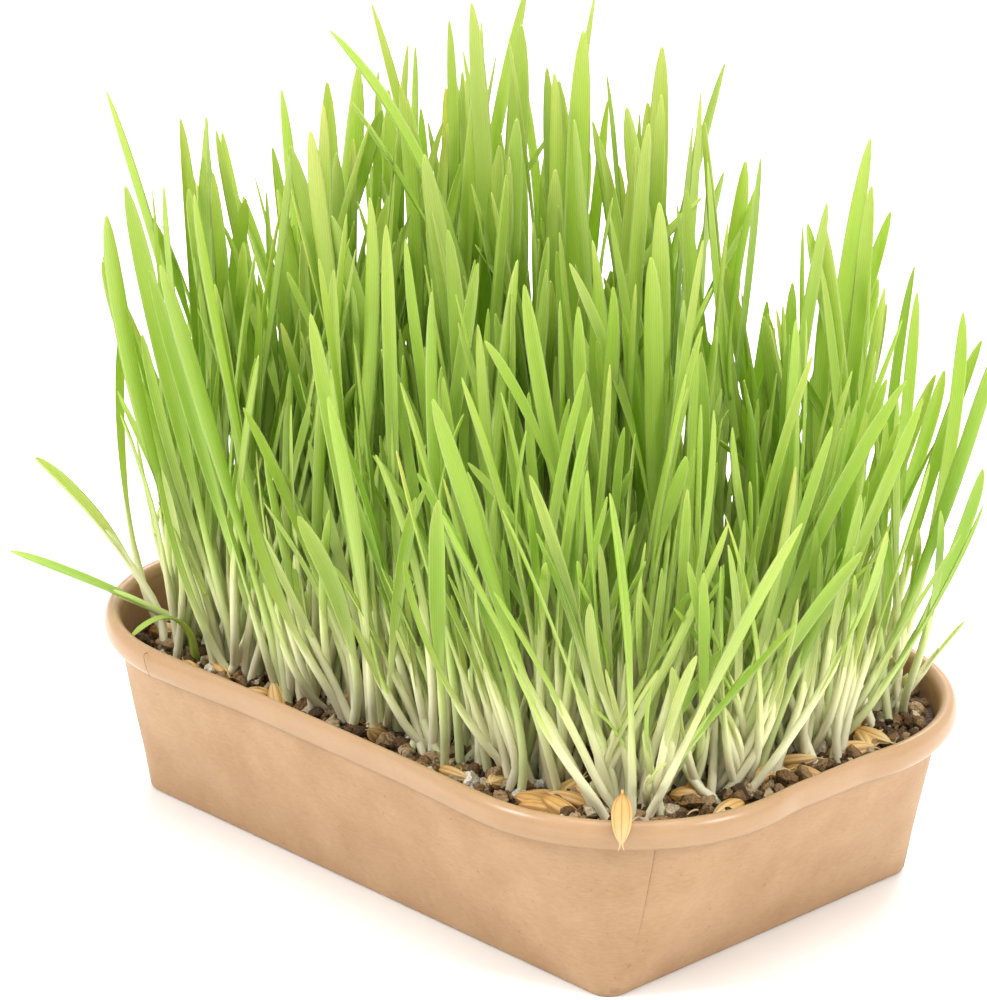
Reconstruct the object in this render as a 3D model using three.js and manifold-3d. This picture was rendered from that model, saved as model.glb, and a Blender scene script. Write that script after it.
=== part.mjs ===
// A kraft paper tray of young cereal shoots: the rolled-rim tray, the soil in it, tufts of shoots
// that stand in the soil on their root crowns, and loose kernels and perlite lumps on the soil.
// Millimetres, +Z up. The origin is the middle of the tray's underside and +X runs along it.
import * as THREE from "three";
import { mergeVertices } from "three/addons/utils/BufferGeometryUtils.js";
import Module from "manifold-3d";

// Tray: outline of the wall at the underside and at the rim, and the outward roll of the rim
const BASE_LENGTH = 135.4;
const BASE_WIDTH = 85.6;
const BASE_CORNER = 4.5;
const RIM_LENGTH = 172;
const RIM_WIDTH = 115;
const RIM_CORNER = 38.5;
const TRAY_HEIGHT = 40;
const BOARD = 0.7;
const ROLL_WIDTH = 3.7;
const ROLL_HEIGHT = 5.8;
const ROLL_TURN = THREE.MathUtils.degToRad(297);
const ROLL_STEPS = 7;
const CORNER_STEPS = 6;

// Clear distance between neighbouring pieces
const GAP = 0.35;

// Soil: level at the middle, rise towards +X, crumbly relief and the rings of its top
const SOIL_LEVEL = 32.5;
const SOIL_TILT = 0.034;
const CRUMB_HEIGHT = 0.7;
const CRUMB_LENGTH = 7;
const CRUMB_SKEW_X = 0.4;
const CRUMB_SKEW_Y = -0.3;
const SOIL_RINGS = 2;

// Root crowns: rows along the tray, drawn in where its corners are rounded, a little proud of the soil
const TUFT_ROWS = 4;
const TUFTS_PER_ROW = 7;
const TUFT_REACH_X = 78.5;
const TUFT_REACH_Y = 49.5;
const CORNER_DRAW_IN = 0.25;
const CROWN_RADIUS = 10;
const CROWN_TAPER = 0.85;
const CROWN_DEPTH = 9;
const CROWN_SIDES = 8;
const CROWN_RISE = 1;

// Shoots: a pale round stem that opens into one flat keeled blade
const SHOOTS_PER_TUFT = 14;
const ROOT_SPREAD = 7.8;
const ROOT_SINK = 3;
const GOLDEN_ANGLE = Math.PI * (3 - Math.sqrt(5));
const HEIGHT_MIDDLE = 108;
const HEIGHT_FALL_X = 18;
const HEIGHT_RISE_Y = 12;
const HEIGHT_EDGE_DROP = 32;
const HEIGHT_EDGE_POWER = 2.5;
const HEIGHT_EDGE_SHARE_Y = 0.8;
const SHORTEST_SHARE = 0.52;
const TALLEST_SHARE = 1.1;
const STEM_WIDTH = 1.9;
const STEM_DEPTH = 1.5;
const BLADE_WIDTH_LEAST = 2.6;
const BLADE_WIDTH_MOST = 4.2;
const BLADE_DEPTH = 0.95;
const STEM_TOP = 0.36;
const BLADE_FULL = 0.7;
const BLADE_NARROWS = 0.91;
const NARROW_SHARE = 0.78;
const FAN_OUT = 0.55;
const OUTWARD_LEAN = 4;
const WANDER = 21;
const TURN_WANDER = 1 / 3;
const TURN_HOLD_BACK = 1 / 6;
const TIP_OVERHANG = 6;
const RIM_CLEARANCE = 1;
const TWIST = 1.1;

// Search for a place in which a shoot is clear of those that already stand
const SEED = 30;
const TRIES = 420;
const LEVEL_STEP = 1.8;
const SHOOT_GAP = 0.5;

// Kernels and perlite lumps lying on the soil, and how high their middles are above it
const KERNELS = 14;
const KERNEL_LENGTH = 9.4;
const KERNEL_RADIUS = 1.75;
const KERNEL_SIDES = 5;
const KERNEL_LIFT = 1;
const PERLITE_LUMPS = 6;
const PERLITE_RADIUS = 2.2;
const PERLITE_LIFT = 0.6;
const SPINE_SHARES = [-1, -0.5, 0, 0.5, 1];

// A kernel's shoulder, waist and neck, as shares of its girth and of its half length
const KERNEL_SHOULDER = { girth: 0.68, along: -0.7 };
const KERNEL_WAIST = { girth: 1, along: -0.1 };
const KERNEL_NECK = { girth: 0.6, along: 0.62 };

// A lump's flat faces lie nearer its middle than its corners, so its hole needs more than the gap
const PERLITE_HOLE_GAP = 1.3 * GAP;

// The kernel over the rim: where it lies round the corner, how steeply it hangs, how far its middle is
// above the place that faces the roll, its girth there as a share of the whole, and its gap to the roll
const RIM_KERNEL_BEARING = THREE.MathUtils.degToRad(-46);
const RIM_KERNEL_TILT = THREE.MathUtils.degToRad(66);
const RIM_KERNEL_RISE = 3;
const RIM_KERNEL_GIRTH = 0.73;
const RIM_KERNEL_GAP = 0.05;

// Shoots that stand out from the rest, most of them over the rim: root, turning point and tip
const STANDOUTS = [
  { root: [-59, -30], turn: [-67, -45, 43], tip: [-89, -59, 50], width: 3.4 },
  { root: [-63, -37], turn: [-76, -41, 54], tip: [-90, -51, 68], width: 3.8 },
  { root: [66, 37], turn: [72, 41, 47], tip: [76, 46, 55], width: 3 },
  { root: [-68, -13], turn: [-68, -28, 92], tip: [-78, -40, 146], width: 4.4 },
  { root: [-66, -33], turn: [-66, -36, 82], tip: [-78, -42, 112], width: 3.2 },
  { root: [-22, 10], turn: [-15, 14, 118], tip: [-49, -7, 158], width: 4.6 },
  { root: [-25, 17], turn: [-22, 13, 100], tip: [-24, 8, 166], width: 4.4 },
  { root: [-2, 15], turn: [-6, 18, 96], tip: [-10, 25, 160], width: 4.2 },
  { root: [1, 35], turn: [-1, 36, 96], tip: [-4, 41, 155], width: 3.8 },
  { root: [42, 34], turn: [42, 40, 88], tip: [33, 62, 140], width: 3.6 },
  { root: [45, 37], turn: [48, 42, 88], tip: [39, 56, 133], width: 3.6 },
  { root: [62, 37], turn: [60, 46, 70], tip: [62, 64, 105], width: 3.4 },
  { root: [62, 31], turn: [68, 40, 62], tip: [67, 56, 85], width: 3.2 },
];

// Finishes
const KRAFT_BOARD = { name: "kraft_board", color: "#dcb28a", roughness: 0.75, metalness: 0 };
const POTTING_SOIL = { name: "potting_soil", color: "#4b382a", roughness: 1, metalness: 0 };
const WHEATGRASS = { name: "wheatgrass", color: "#9cc455", roughness: 0.5, metalness: 0 };
const KERNEL_HULL = { name: "kernel_hull", color: "#d9b06a", roughness: 0.6, metalness: 0 };
const PERLITE = { name: "perlite", color: "#cfc6b4", roughness: 0.9, metalness: 0 };

const wasm = await Module();
wasm.setup();
const { Manifold, Mesh } = wasm;
const { lerp } = THREE.MathUtils;

// Evenly spread numbers from 0 to 1, the same on every run
function seededRandom(seed) {
  let state = seed;
  return () => {
    state = (state + 0x6d2b79f5) | 0;
    let mixed = Math.imul(state ^ (state >>> 15), 1 | state);
    mixed = (mixed + Math.imul(mixed ^ (mixed >>> 7), 61 | mixed)) ^ mixed;
    return ((mixed ^ (mixed >>> 14)) >>> 0) / 2 ** 32;
  };
}

const random = seededRandom(SEED);
const between = (low, high) => lerp(low, high, random());

function toSolid(geometry) {
  const bare = geometry.clone();
  bare.deleteAttribute("normal");
  bare.deleteAttribute("uv");
  const merged = mergeVertices(bare);
  const vertProperties = new Float32Array(merged.attributes.position.array);
  const triVerts = new Uint32Array(merged.index.array);
  return new Manifold(new Mesh({ numProp: 3, vertProperties, triVerts }));
}

function toGeometry(solid) {
  const { vertProperties, triVerts } = solid.getMesh();
  const geometry = new THREE.BufferGeometry();
  geometry.setAttribute("position", new THREE.BufferAttribute(new Float32Array(vertProperties), 3));
  geometry.setIndex(new THREE.BufferAttribute(new Uint32Array(triVerts), 1));
  geometry.computeVertexNormals();
  return geometry;
}

// A closed skin through rings that run anticlockwise about the way they follow each other.
// The first ring is closed by a flat face, the last by a flat face or by being a single point.
function loft(rings) {
  const count = rings[0].length;
  const points = rings.flat();
  const index = [];
  for (let side = 1; side + 1 < count; side++) {
    index.push(0, side + 1, side);
  }
  for (let ring = 0; ring + 1 < rings.length; ring++) {
    const low = ring * count;
    const high = low + count;
    for (let side = 0; side < count; side++) {
      const next = (side + 1) % count;
      if (rings[ring + 1].length === 1) {
        index.push(low + side, low + next, high);
      } else {
        index.push(low + side, low + next, high + next);
        index.push(low + side, high + next, high + side);
      }
    }
  }
  const last = rings.length * count - count;
  for (let side = 1; rings.at(-1).length > 1 && side + 1 < count; side++) {
    index.push(last, last + side, last + side + 1);
  }
  const geometry = new THREE.BufferGeometry().setFromPoints(points);
  geometry.setIndex(index);
  geometry.computeVertexNormals();
  return geometry;
}

// Tray outline: a rounded rectangle that grows from the underside to the middle of the rolled rim
const ROLL_MIDDLE = TRAY_HEIGHT - ROLL_HEIGHT / 2;
const ROLL_OVERHANG = ROLL_WIDTH - BOARD;
const COLUMNS = 4 * (CORNER_STEPS + 1);

function wallOutline(height, outward) {
  const share = Math.min(height / ROLL_MIDDLE, 1);
  return {
    length: lerp(BASE_LENGTH / 2, RIM_LENGTH / 2 - ROLL_OVERHANG, share) + outward,
    width: lerp(BASE_WIDTH / 2, RIM_WIDTH / 2 - ROLL_OVERHANG, share) + outward,
    corner: lerp(BASE_CORNER, RIM_CORNER - ROLL_OVERHANG, share) + outward,
  };
}

function outlinePoint(column, outline, height) {
  const quarter = Math.floor(column / (CORNER_STEPS + 1));
  const step = column % (CORNER_STEPS + 1);
  const angle = (quarter + step / CORNER_STEPS) * (Math.PI / 2);
  const signX = quarter === 0 || quarter === 3 ? 1 : -1;
  const signY = quarter < 2 ? 1 : -1;
  return new THREE.Vector3(
    signX * (outline.length - outline.corner) + outline.corner * Math.cos(angle),
    signY * (outline.width - outline.corner) + outline.corner * Math.sin(angle),
    height,
  );
}

function outlineRing(outline, height) {
  return Array.from({ length: COLUMNS }, (_, column) => outlinePoint(column, outline, height));
}

// How far a point lies outside an outline; negative inside it
function outsideBy(x, y, outline) {
  const overX = Math.abs(x) - outline.length + outline.corner;
  const overY = Math.abs(y) - outline.width + outline.corner;
  const rounded = Math.hypot(Math.max(overX, 0), Math.max(overY, 0));
  return rounded + Math.min(Math.max(overX, overY), 0) - outline.corner;
}

// The board runs up the wall and rolls outward and under; its two faces are a board apart
function rolledRing(turn, inset) {
  const angle = Math.PI - turn;
  const across = (ROLL_WIDTH / 2 - inset) * Math.cos(angle);
  const up = (ROLL_HEIGHT / 2 - inset) * Math.sin(angle);
  const outward = ROLL_WIDTH / 2 - BOARD + across;
  return outlineRing(wallOutline(ROLL_MIDDLE, outward), ROLL_MIDDLE + up);
}

function trayGeometry() {
  const rings = [outlineRing(wallOutline(0, 0), 0)];
  for (let step = 0; step <= ROLL_STEPS; step++) {
    rings.push(rolledRing((ROLL_TURN * step) / ROLL_STEPS, BOARD));
  }
  for (let step = ROLL_STEPS; step >= 0; step--) {
    rings.push(rolledRing((ROLL_TURN * step) / ROLL_STEPS, 0));
  }
  rings.push(outlineRing(wallOutline(BOARD, -BOARD), BOARD));
  return loft(rings);
}

// Soil: level with a slow rise along the tray, and crumbs as two crossed waves on top of it
function soilLevel(x) {
  return SOIL_LEVEL + SOIL_TILT * x;
}

function soilTop(x, y) {
  const waveX = Math.sin((2 * Math.PI * (x + CRUMB_SKEW_X * y)) / CRUMB_LENGTH);
  const waveY = Math.sin((2 * Math.PI * (y + CRUMB_SKEW_Y * x)) / CRUMB_LENGTH);
  return soilLevel(x) + CRUMB_HEIGHT * waveX * waveY;
}

function soilGeometry() {
  const inset = -BOARD - GAP;
  const floor = BOARD + GAP;
  const rings = [outlineRing(wallOutline(floor, inset), floor)];
  for (let ring = 0; ring < SOIL_RINGS; ring++) {
    const share = 1 - ring / SOIL_RINGS;
    rings.push(
      outlineRing(wallOutline(SOIL_LEVEL, inset), 0).map((edge) => {
        const height = soilTop(share * edge.x, share * edge.y);
        return new THREE.Vector3(share * edge.x, share * edge.y, height);
      }),
    );
  }
  // The edge follows the sloping wall to its own height
  rings[1] = rings[1].map((edge, column) => {
    return outlinePoint(column, wallOutline(edge.z, inset), edge.z);
  });
  rings.push([new THREE.Vector3(0, 0, soilTop(0, 0))]);
  return loft(rings);
}

// Tufts
function tuftCentres() {
  const centres = [];
  for (let row = 0; row < TUFT_ROWS; row++) {
    for (let place = 0; place < TUFTS_PER_ROW; place++) {
      const shareX = (2 * (place + 0.5)) / TUFTS_PER_ROW - 1;
      const shareY = (2 * (row + 0.5)) / TUFT_ROWS - 1;
      const x = TUFT_REACH_X * shareX * Math.sqrt(1 - CORNER_DRAW_IN * shareY ** 2);
      const y = TUFT_REACH_Y * shareY * Math.sqrt(1 - CORNER_DRAW_IN * shareX ** 2);
      centres.push(new THREE.Vector3(x, y, soilLevel(x) + CROWN_RISE));
    }
  }
  return centres;
}

// A tapered crown, or with a gap the flared hole that it stands in, open at the top
function crownGeometry(centre, gap) {
  const rise = gap > 0 ? CROWN_DEPTH : 0;
  const height = CROWN_DEPTH + gap + rise;
  const slope = (CROWN_RADIUS * (1 - CROWN_TAPER)) / CROWN_DEPTH;
  const top = CROWN_RADIUS + gap + slope * rise;
  const crown = new THREE.CylinderGeometry(top, top - slope * height, height, CROWN_SIDES);
  crown.rotateX(Math.PI / 2);
  crown.translate(centre.x, centre.y, centre.z + rise - height / 2);
  return crown;
}

// Typical height of the shoots: lower along the edges, lowest at the corner +X, -Y
function heightAt(x, y) {
  const shareX = x / (RIM_LENGTH / 2);
  const shareY = y / (RIM_WIDTH / 2);
  const edge = Math.max(Math.abs(shareX), HEIGHT_EDGE_SHARE_Y * Math.abs(shareY));
  const slope = HEIGHT_RISE_Y * shareY - HEIGHT_FALL_X * shareX;
  return HEIGHT_MIDDLE + slope - HEIGHT_EDGE_DROP * edge ** HEIGHT_EDGE_POWER;
}

// A shoot's skin as rings of two blade edges and a keel, along a curve from root to tip.
// The edges lie a third of the depth ahead of the curve, so that it runs through every ring's middle.
function shootRings(shoot) {
  const { curve, facing, twist, width } = shoot;
  const sections = [
    { along: 0, width: STEM_WIDTH, depth: STEM_DEPTH, sink: ROOT_SINK },
    { along: STEM_TOP, width: STEM_WIDTH, depth: STEM_DEPTH, sink: 0 },
    { along: BLADE_FULL, width, depth: BLADE_DEPTH, sink: 0 },
    { along: BLADE_NARROWS, width: width * NARROW_SHARE, depth: BLADE_DEPTH, sink: 0 },
  ];
  const rings = sections.map((section) => {
    const middle = curve.getPoint(section.along);
    middle.z -= section.sink;
    const ahead = curve.getTangent(section.along);
    const turned = facing + twist * section.along;
    const side = new THREE.Vector3(Math.cos(turned), Math.sin(turned), 0);
    side.addScaledVector(ahead, -side.dot(ahead)).normalize();
    const face = ahead.clone().cross(side);
    const fold = middle.clone().addScaledVector(face, section.depth / 3);
    return [
      fold.clone().addScaledVector(side, section.width / 2),
      fold.clone().addScaledVector(side, -section.width / 2),
      fold.clone().addScaledVector(face, -section.depth),
    ];
  });
  return [...rings, [curve.getPoint(1)]];
}

// The three corners of a shoot's section at a height
function sectionAt(rings, height) {
  let upper = 1;
  while (upper + 1 < rings.length && rings[upper][0].z < height) {
    upper++;
  }
  return rings[upper - 1].map((low, corner) => {
    const high = rings[upper][Math.min(corner, rings[upper].length - 1)];
    return low.clone().lerp(high, (height - low.z) / (high.z - low.z));
  });
}

// Two sections are apart when a line along one of their sides divides them with room to spare
function sectionsApart(first, second, gap) {
  for (const section of [first, second]) {
    for (let corner = 0; corner < section.length; corner++) {
      const from = section[corner];
      const to = section[(corner + 1) % section.length];
      const length = Math.hypot(to.x - from.x, to.y - from.y);
      const reach = (point) => ((to.y - from.y) * point.x - (to.x - from.x) * point.y) / length;
      const reachFirst = first.map(reach);
      const reachSecond = second.map(reach);
      const ahead = Math.min(...reachSecond) - Math.max(...reachFirst);
      const behind = Math.min(...reachFirst) - Math.max(...reachSecond);
      if (Math.max(ahead, behind) >= gap) {
        return true;
      }
    }
  }
  return false;
}

function isClear(rings, standing) {
  const foot = Math.max(...rings[0].map((point) => point.z));
  const tip = rings.at(-1)[0].z;
  const box = new THREE.Box3().setFromPoints(rings.flat()).expandByScalar(SHOOT_GAP);
  const near = standing.filter((other) => other.box.intersectsBox(box));
  const rim = wallOutline(ROLL_MIDDLE, ROLL_OVERHANG);
  if (outsideBy(rings.at(-1)[0].x, rings.at(-1)[0].y, rim) > TIP_OVERHANG) {
    return false;
  }
  for (let height = foot; height < tip; height += LEVEL_STEP) {
    const section = sectionAt(rings, height);
    if (height < TRAY_HEIGHT + RIM_CLEARANCE) {
      const inside = wallOutline(height, -BOARD - 2 * GAP);
      if (section.some((point) => outsideBy(point.x, point.y, inside) > 0)) {
        return false;
      }
    }
    for (const other of near) {
      if (height < other.tip && height > other.foot) {
        if (!sectionsApart(section, sectionAt(other.rings, height), SHOOT_GAP)) {
          return false;
        }
      }
    }
  }
  return true;
}

function stand(rings) {
  return {
    rings,
    foot: Math.max(...rings[0].map((point) => point.z)),
    tip: rings.at(-1)[0].z,
    box: new THREE.Box3().setFromPoints(rings.flat()),
  };
}

// A shoot drawn at random about its place in the fan of a tuft; calmer as the tries run out
function drawShoot(tuft, place, calm) {
  const away = ROOT_SPREAD * Math.sqrt((place + 0.5) / SHOOTS_PER_TUFT);
  const around = place * GOLDEN_ANGLE;
  const root = new THREE.Vector3(away * Math.cos(around), away * Math.sin(around), 0).add(tuft);
  const height = heightAt(root.x, root.y) * between(SHORTEST_SHARE, TALLEST_SHARE);
  const wander = WANDER * calm;
  const leanX = FAN_OUT * (root.x - tuft.x) + (OUTWARD_LEAN * root.x) / (RIM_LENGTH / 2);
  const leanY = FAN_OUT * (root.y - tuft.y) + (OUTWARD_LEAN * root.y) / (RIM_WIDTH / 2);
  const tip = new THREE.Vector3(
    root.x + leanX + between(-wander, wander),
    root.y + leanY + between(-wander, wander),
    root.z + height,
  );
  const turn = root.clone().lerp(tip, 0.5);
  turn.x += TURN_WANDER * between(-wander, wander) - TURN_HOLD_BACK * leanX;
  turn.y += TURN_WANDER * between(-wander, wander) - TURN_HOLD_BACK * leanY;
  return {
    curve: new THREE.QuadraticBezierCurve3(root, turn, tip),
    facing: between(0, 2 * Math.PI),
    twist: between(-TWIST, TWIST),
    width: between(BLADE_WIDTH_LEAST, BLADE_WIDTH_MOST),
  };
}

function standoutShoot(standout, tuft) {
  const root = new THREE.Vector3(...standout.root, tuft.z);
  const tip = new THREE.Vector3(...standout.tip);
  const heading = Math.atan2(tip.y - root.y, tip.x - root.x);
  return {
    curve: new THREE.QuadraticBezierCurve3(root, new THREE.Vector3(...standout.turn), tip),
    facing: heading + Math.PI / 2,
    twist: 0,
    width: standout.width,
  };
}

function nearestTuft(tufts, x, y) {
  const distances = tufts.map((tuft) => Math.hypot(tuft.x - x, tuft.y - y));
  return distances.indexOf(Math.min(...distances));
}

// Shoots of every tuft: the standouts first, then the rest in turn, each where it stands clear
function growShoots(tufts) {
  const standing = [];
  const grown = tufts.map(() => []);
  for (const standout of STANDOUTS) {
    const owner = nearestTuft(tufts, ...standout.root);
    const shoot = stand(shootRings(standoutShoot(standout, tufts[owner])));
    standing.push(shoot);
    grown[owner].push(shoot);
  }
  for (let place = 0; place < SHOOTS_PER_TUFT; place++) {
    tufts.forEach((tuft, owner) => {
      for (let attempt = 0; attempt < TRIES; attempt++) {
        const rings = shootRings(drawShoot(tuft, place, 1 - attempt / TRIES));
        if (isClear(rings, standing)) {
          const shoot = stand(rings);
          standing.push(shoot);
          grown[owner].push(shoot);
          break;
        }
      }
    });
  }
  return grown;
}

// A kernel with its hull: a spindle lying along X, blunt at one end and drawn out at the other
function kernelGeometry(swell) {
  const half = KERNEL_LENGTH / 2;
  const girth = KERNEL_RADIUS + swell;
  const profile = [
    new THREE.Vector2(0, -half - swell),
    new THREE.Vector2(KERNEL_SHOULDER.girth * girth, KERNEL_SHOULDER.along * half),
    new THREE.Vector2(KERNEL_WAIST.girth * girth, KERNEL_WAIST.along * half),
    new THREE.Vector2(KERNEL_NECK.girth * girth, KERNEL_NECK.along * half),
    new THREE.Vector2(0, half + swell),
  ];
  return new THREE.LatheGeometry(profile, KERNEL_SIDES).rotateZ(-Math.PI / 2);
}

function lumpGeometry(radius) {
  return new THREE.IcosahedronGeometry(radius, 0);
}

// Loose things lie on the soil between the crowns and the wall, clear of crowns and stems
function findRest(reach, tufts, shoots, resting) {
  for (;;) {
    const x = between(-RIM_LENGTH / 2, RIM_LENGTH / 2);
    const y = between(-RIM_WIDTH / 2, RIM_WIDTH / 2);
    const yaw = between(0, Math.PI);
    const spine = SPINE_SHARES.map((share) => {
      const along = share * (reach.half - reach.girth);
      return new THREE.Vector2(x + along * Math.cos(yaw), y + along * Math.sin(yaw));
    });
    const inside = wallOutline(soilLevel(x), -BOARD - 2 * GAP - reach.girth);
    const fits = spine.every((point) => {
      const room = reach.girth + 2 * GAP;
      const clearOfCrowns = tufts.every((tuft) => {
        return Math.hypot(tuft.x - point.x, tuft.y - point.y) > CROWN_RADIUS + room;
      });
      const clearOfLoose = resting.every((other) => other.distanceTo(point) > room + KERNEL_RADIUS);
      const clearOfShoots = shoots.every((shoot) => {
        const level = soilLevel(x) + reach.girth;
        const stem = shoot.foot < level && level < shoot.tip ? sectionAt(shoot.rings, level) : [];
        return stem.every((corner) => Math.hypot(corner.x - point.x, corner.y - point.y) > room);
      });
      return clearOfCrowns && clearOfLoose && clearOfShoots && outsideBy(point.x, point.y, inside) < 0;
    });
    if (fits) {
      resting.push(...spine);
      return new THREE.Matrix4().makeRotationZ(yaw).setPosition(x, y, soilLevel(x) + reach.lift);
    }
  }
}

// One kernel leans on the outer shoulder of the rolled rim, at the corner +X, -Y
function rimKernelPlace() {
  const outline = wallOutline(ROLL_MIDDLE, ROLL_WIDTH / 2 - BOARD);
  const rollAcross = (ROLL_WIDTH / 2) * Math.sin(RIM_KERNEL_TILT);
  const rollUp = (ROLL_HEIGHT / 2) * Math.cos(RIM_KERNEL_TILT);
  const flatSide = RIM_KERNEL_GIRTH * KERNEL_RADIUS * Math.cos(Math.PI / KERNEL_SIDES);
  const lift = Math.hypot(rollAcross, rollUp) + flatSide + RIM_KERNEL_GAP;
  const outward = lift * Math.sin(RIM_KERNEL_TILT) - RIM_KERNEL_RISE * Math.cos(RIM_KERNEL_TILT);
  const upward = lift * Math.cos(RIM_KERNEL_TILT) + RIM_KERNEL_RISE * Math.sin(RIM_KERNEL_TILT);
  const away = outline.corner + outward;
  const tilted = new THREE.Matrix4().makeRotationY(RIM_KERNEL_TILT);
  const turned = new THREE.Matrix4().makeRotationZ(RIM_KERNEL_BEARING).multiply(tilted);
  return turned.setPosition(
    outline.length - outline.corner + away * Math.cos(RIM_KERNEL_BEARING),
    outline.corner - outline.width + away * Math.sin(RIM_KERNEL_BEARING),
    ROLL_MIDDLE + upward,
  );
}

// Assembly
const part = new THREE.Group();
part.name = "wheatgrass_tray";

function addPiece(name, geometry, finish) {
  const mesh = new THREE.Mesh(geometry, new THREE.MeshStandardMaterial(finish));
  mesh.name = name;
  part.add(mesh);
}

const numbered = (name, index) => `${name}_${String(index + 1).padStart(2, "0")}`;

const tufts = tuftCentres();
const shootsByTuft = growShoots(tufts);
const shoots = shootsByTuft.flat();
const resting = [];
const kernelReach = { half: KERNEL_LENGTH / 2, girth: KERNEL_RADIUS, lift: KERNEL_LIFT };
const lumpReach = { half: PERLITE_RADIUS, girth: PERLITE_RADIUS, lift: PERLITE_LIFT };
const kernelPlaces = [];
for (let kernel = 0; kernel < KERNELS; kernel++) {
  kernelPlaces.push(findRest(kernelReach, tufts, shoots, resting));
}
const lumpPlaces = [];
for (let lump = 0; lump < PERLITE_LUMPS; lump++) {
  lumpPlaces.push(findRest(lumpReach, tufts, shoots, resting));
}

let soil = toSolid(soilGeometry());
for (const tuft of tufts) {
  soil = soil.subtract(toSolid(crownGeometry(tuft, GAP)));
}
for (const place of kernelPlaces) {
  soil = soil.subtract(toSolid(kernelGeometry(GAP).applyMatrix4(place)));
}
for (const place of lumpPlaces) {
  soil = soil.subtract(toSolid(lumpGeometry(PERLITE_RADIUS + PERLITE_HOLE_GAP).applyMatrix4(place)));
}

addPiece("tray", trayGeometry(), KRAFT_BOARD);
addPiece("soil", toGeometry(soil), POTTING_SOIL);
tufts.forEach((tuft, index) => {
  let solid = toSolid(crownGeometry(tuft, 0));
  for (const shoot of shootsByTuft[index]) {
    solid = solid.add(toSolid(loft(shoot.rings)));
  }
  addPiece(numbered("tuft", index), toGeometry(solid), WHEATGRASS);
});
kernelPlaces.forEach((place, index) => {
  addPiece(numbered("kernel", index), kernelGeometry(0).applyMatrix4(place), KERNEL_HULL);
});
addPiece("kernel_over_rim", kernelGeometry(0).applyMatrix4(rimKernelPlace()), KERNEL_HULL);
lumpPlaces.forEach((place, index) => {
  addPiece(numbered("perlite", index), lumpGeometry(PERLITE_RADIUS).applyMatrix4(place), PERLITE);
});

export default part;
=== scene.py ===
import math

import bmesh
import bpy
import numpy as np
from mathutils import Matrix, Vector, noise


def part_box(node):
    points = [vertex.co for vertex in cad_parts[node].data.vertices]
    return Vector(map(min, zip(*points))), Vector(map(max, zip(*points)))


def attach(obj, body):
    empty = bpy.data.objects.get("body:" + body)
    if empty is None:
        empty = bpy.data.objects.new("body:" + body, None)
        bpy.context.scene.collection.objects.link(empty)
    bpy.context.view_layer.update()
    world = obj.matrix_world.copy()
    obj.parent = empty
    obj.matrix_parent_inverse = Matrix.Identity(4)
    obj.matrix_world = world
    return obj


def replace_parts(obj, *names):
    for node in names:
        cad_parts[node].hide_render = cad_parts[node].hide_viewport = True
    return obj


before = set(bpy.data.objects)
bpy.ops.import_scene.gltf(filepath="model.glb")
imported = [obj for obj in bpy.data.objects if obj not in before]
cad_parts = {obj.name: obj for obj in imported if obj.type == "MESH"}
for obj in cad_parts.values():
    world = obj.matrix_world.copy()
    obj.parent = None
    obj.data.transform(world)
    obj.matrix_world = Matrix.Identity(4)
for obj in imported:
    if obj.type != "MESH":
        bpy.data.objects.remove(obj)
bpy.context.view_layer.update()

MM = 0.001
SEED = 41
rng = np.random.default_rng(SEED)

# Tray, in millimetres: the wall's outline at the underside and at the top, and the rolled rim
TRAY_TOP = np.array(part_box("tray")[1]) / MM
BASE_HALF = np.array([67.7, 42.8])
BASE_CORNER = 4.5
RIM_HALF = TRAY_TOP[:2]
RIM_CORNER = 38.5
TRAY_HEIGHT = TRAY_TOP[2]
BOARD = 0.7
ROLL_WIDTH = 3.7
ROLL_HEIGHT = 5.8
ROLL_TURN = math.radians(297)
ROLL_MIDDLE = TRAY_HEIGHT - ROLL_HEIGHT / 2
ROLL_OVERHANG = ROLL_WIDTH - BOARD
ROLL_STEPS = 30
WALL_LEVELS = 22
CORNER_STEPS = 22
SIDE_STEPS = (24, 34)
FOLD_RADIUS = 0.9
FOLD_STEPS = 6
INNER_FOLD_UP = 0.4
INNER_FOLD_IN = 0.6

# The roll's width where it is pressed, along the straight sides, and the share of a side that takes it there
ROLL_PRESSED = 2.1
PRESS_RUN = 0.3

# How far painted shade darkens the board over its inside and under the roll, and the turns over which that
# shade grows
INSIDE_SHADE = 0.42
ROLL_SHADE = 0.5
ROLL_SHADE_TURNS = (math.radians(225), math.radians(265))

# The wall is a little uneven: how far, over what length, and how far from rim and underside it starts
WALL_WAVE = 0.22
WALL_WAVE_LENGTH = 26.0
WALL_WAVE_FROM = 8.0

# Glued corner laps on the short sides: where the cut edge is at the underside and at the rim, how far the
# lap goes round the corner, and the shares of that run where its points lie
LAP_EDGES = {(1, 1): (40.2, 46.5), (1, -1): (38.6, 39.6), (-1, 1): (38.6, 39.6), (-1, -1): (40.2, 46.5)}
LAP_REACH = 22.0
LAP_SHARES = (0.0, 0.006, 0.023, 0.07, 0.14, 0.23, 0.34, 0.45, 0.59, 0.73, 0.86, 1.0)
LAP_LAST = math.radians(80)
LAST_EDGE = math.sin(LAP_LAST) - 0.01
LAP_LEVELS = 24
LAP_MARGIN = 1.0

# The lap's cut edge stands off the wall, fully where it has opened higher up, and its far end sinks in; a
# line of painted shade darkens the cut edge, more where it has opened
LAP_STEP = 0.3
LAP_CLOSED = 0.25
LAP_CLEAR = 0.02
LAP_SUNK = 0.3
LAP_END_SUNK = 0.2
LAP_FADE_FROM = 0.1
LAP_OPEN_FROM = 8.0
LAP_OPEN_TO = 22.0
LAP_EDGE_SHADE = 0.85

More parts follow.
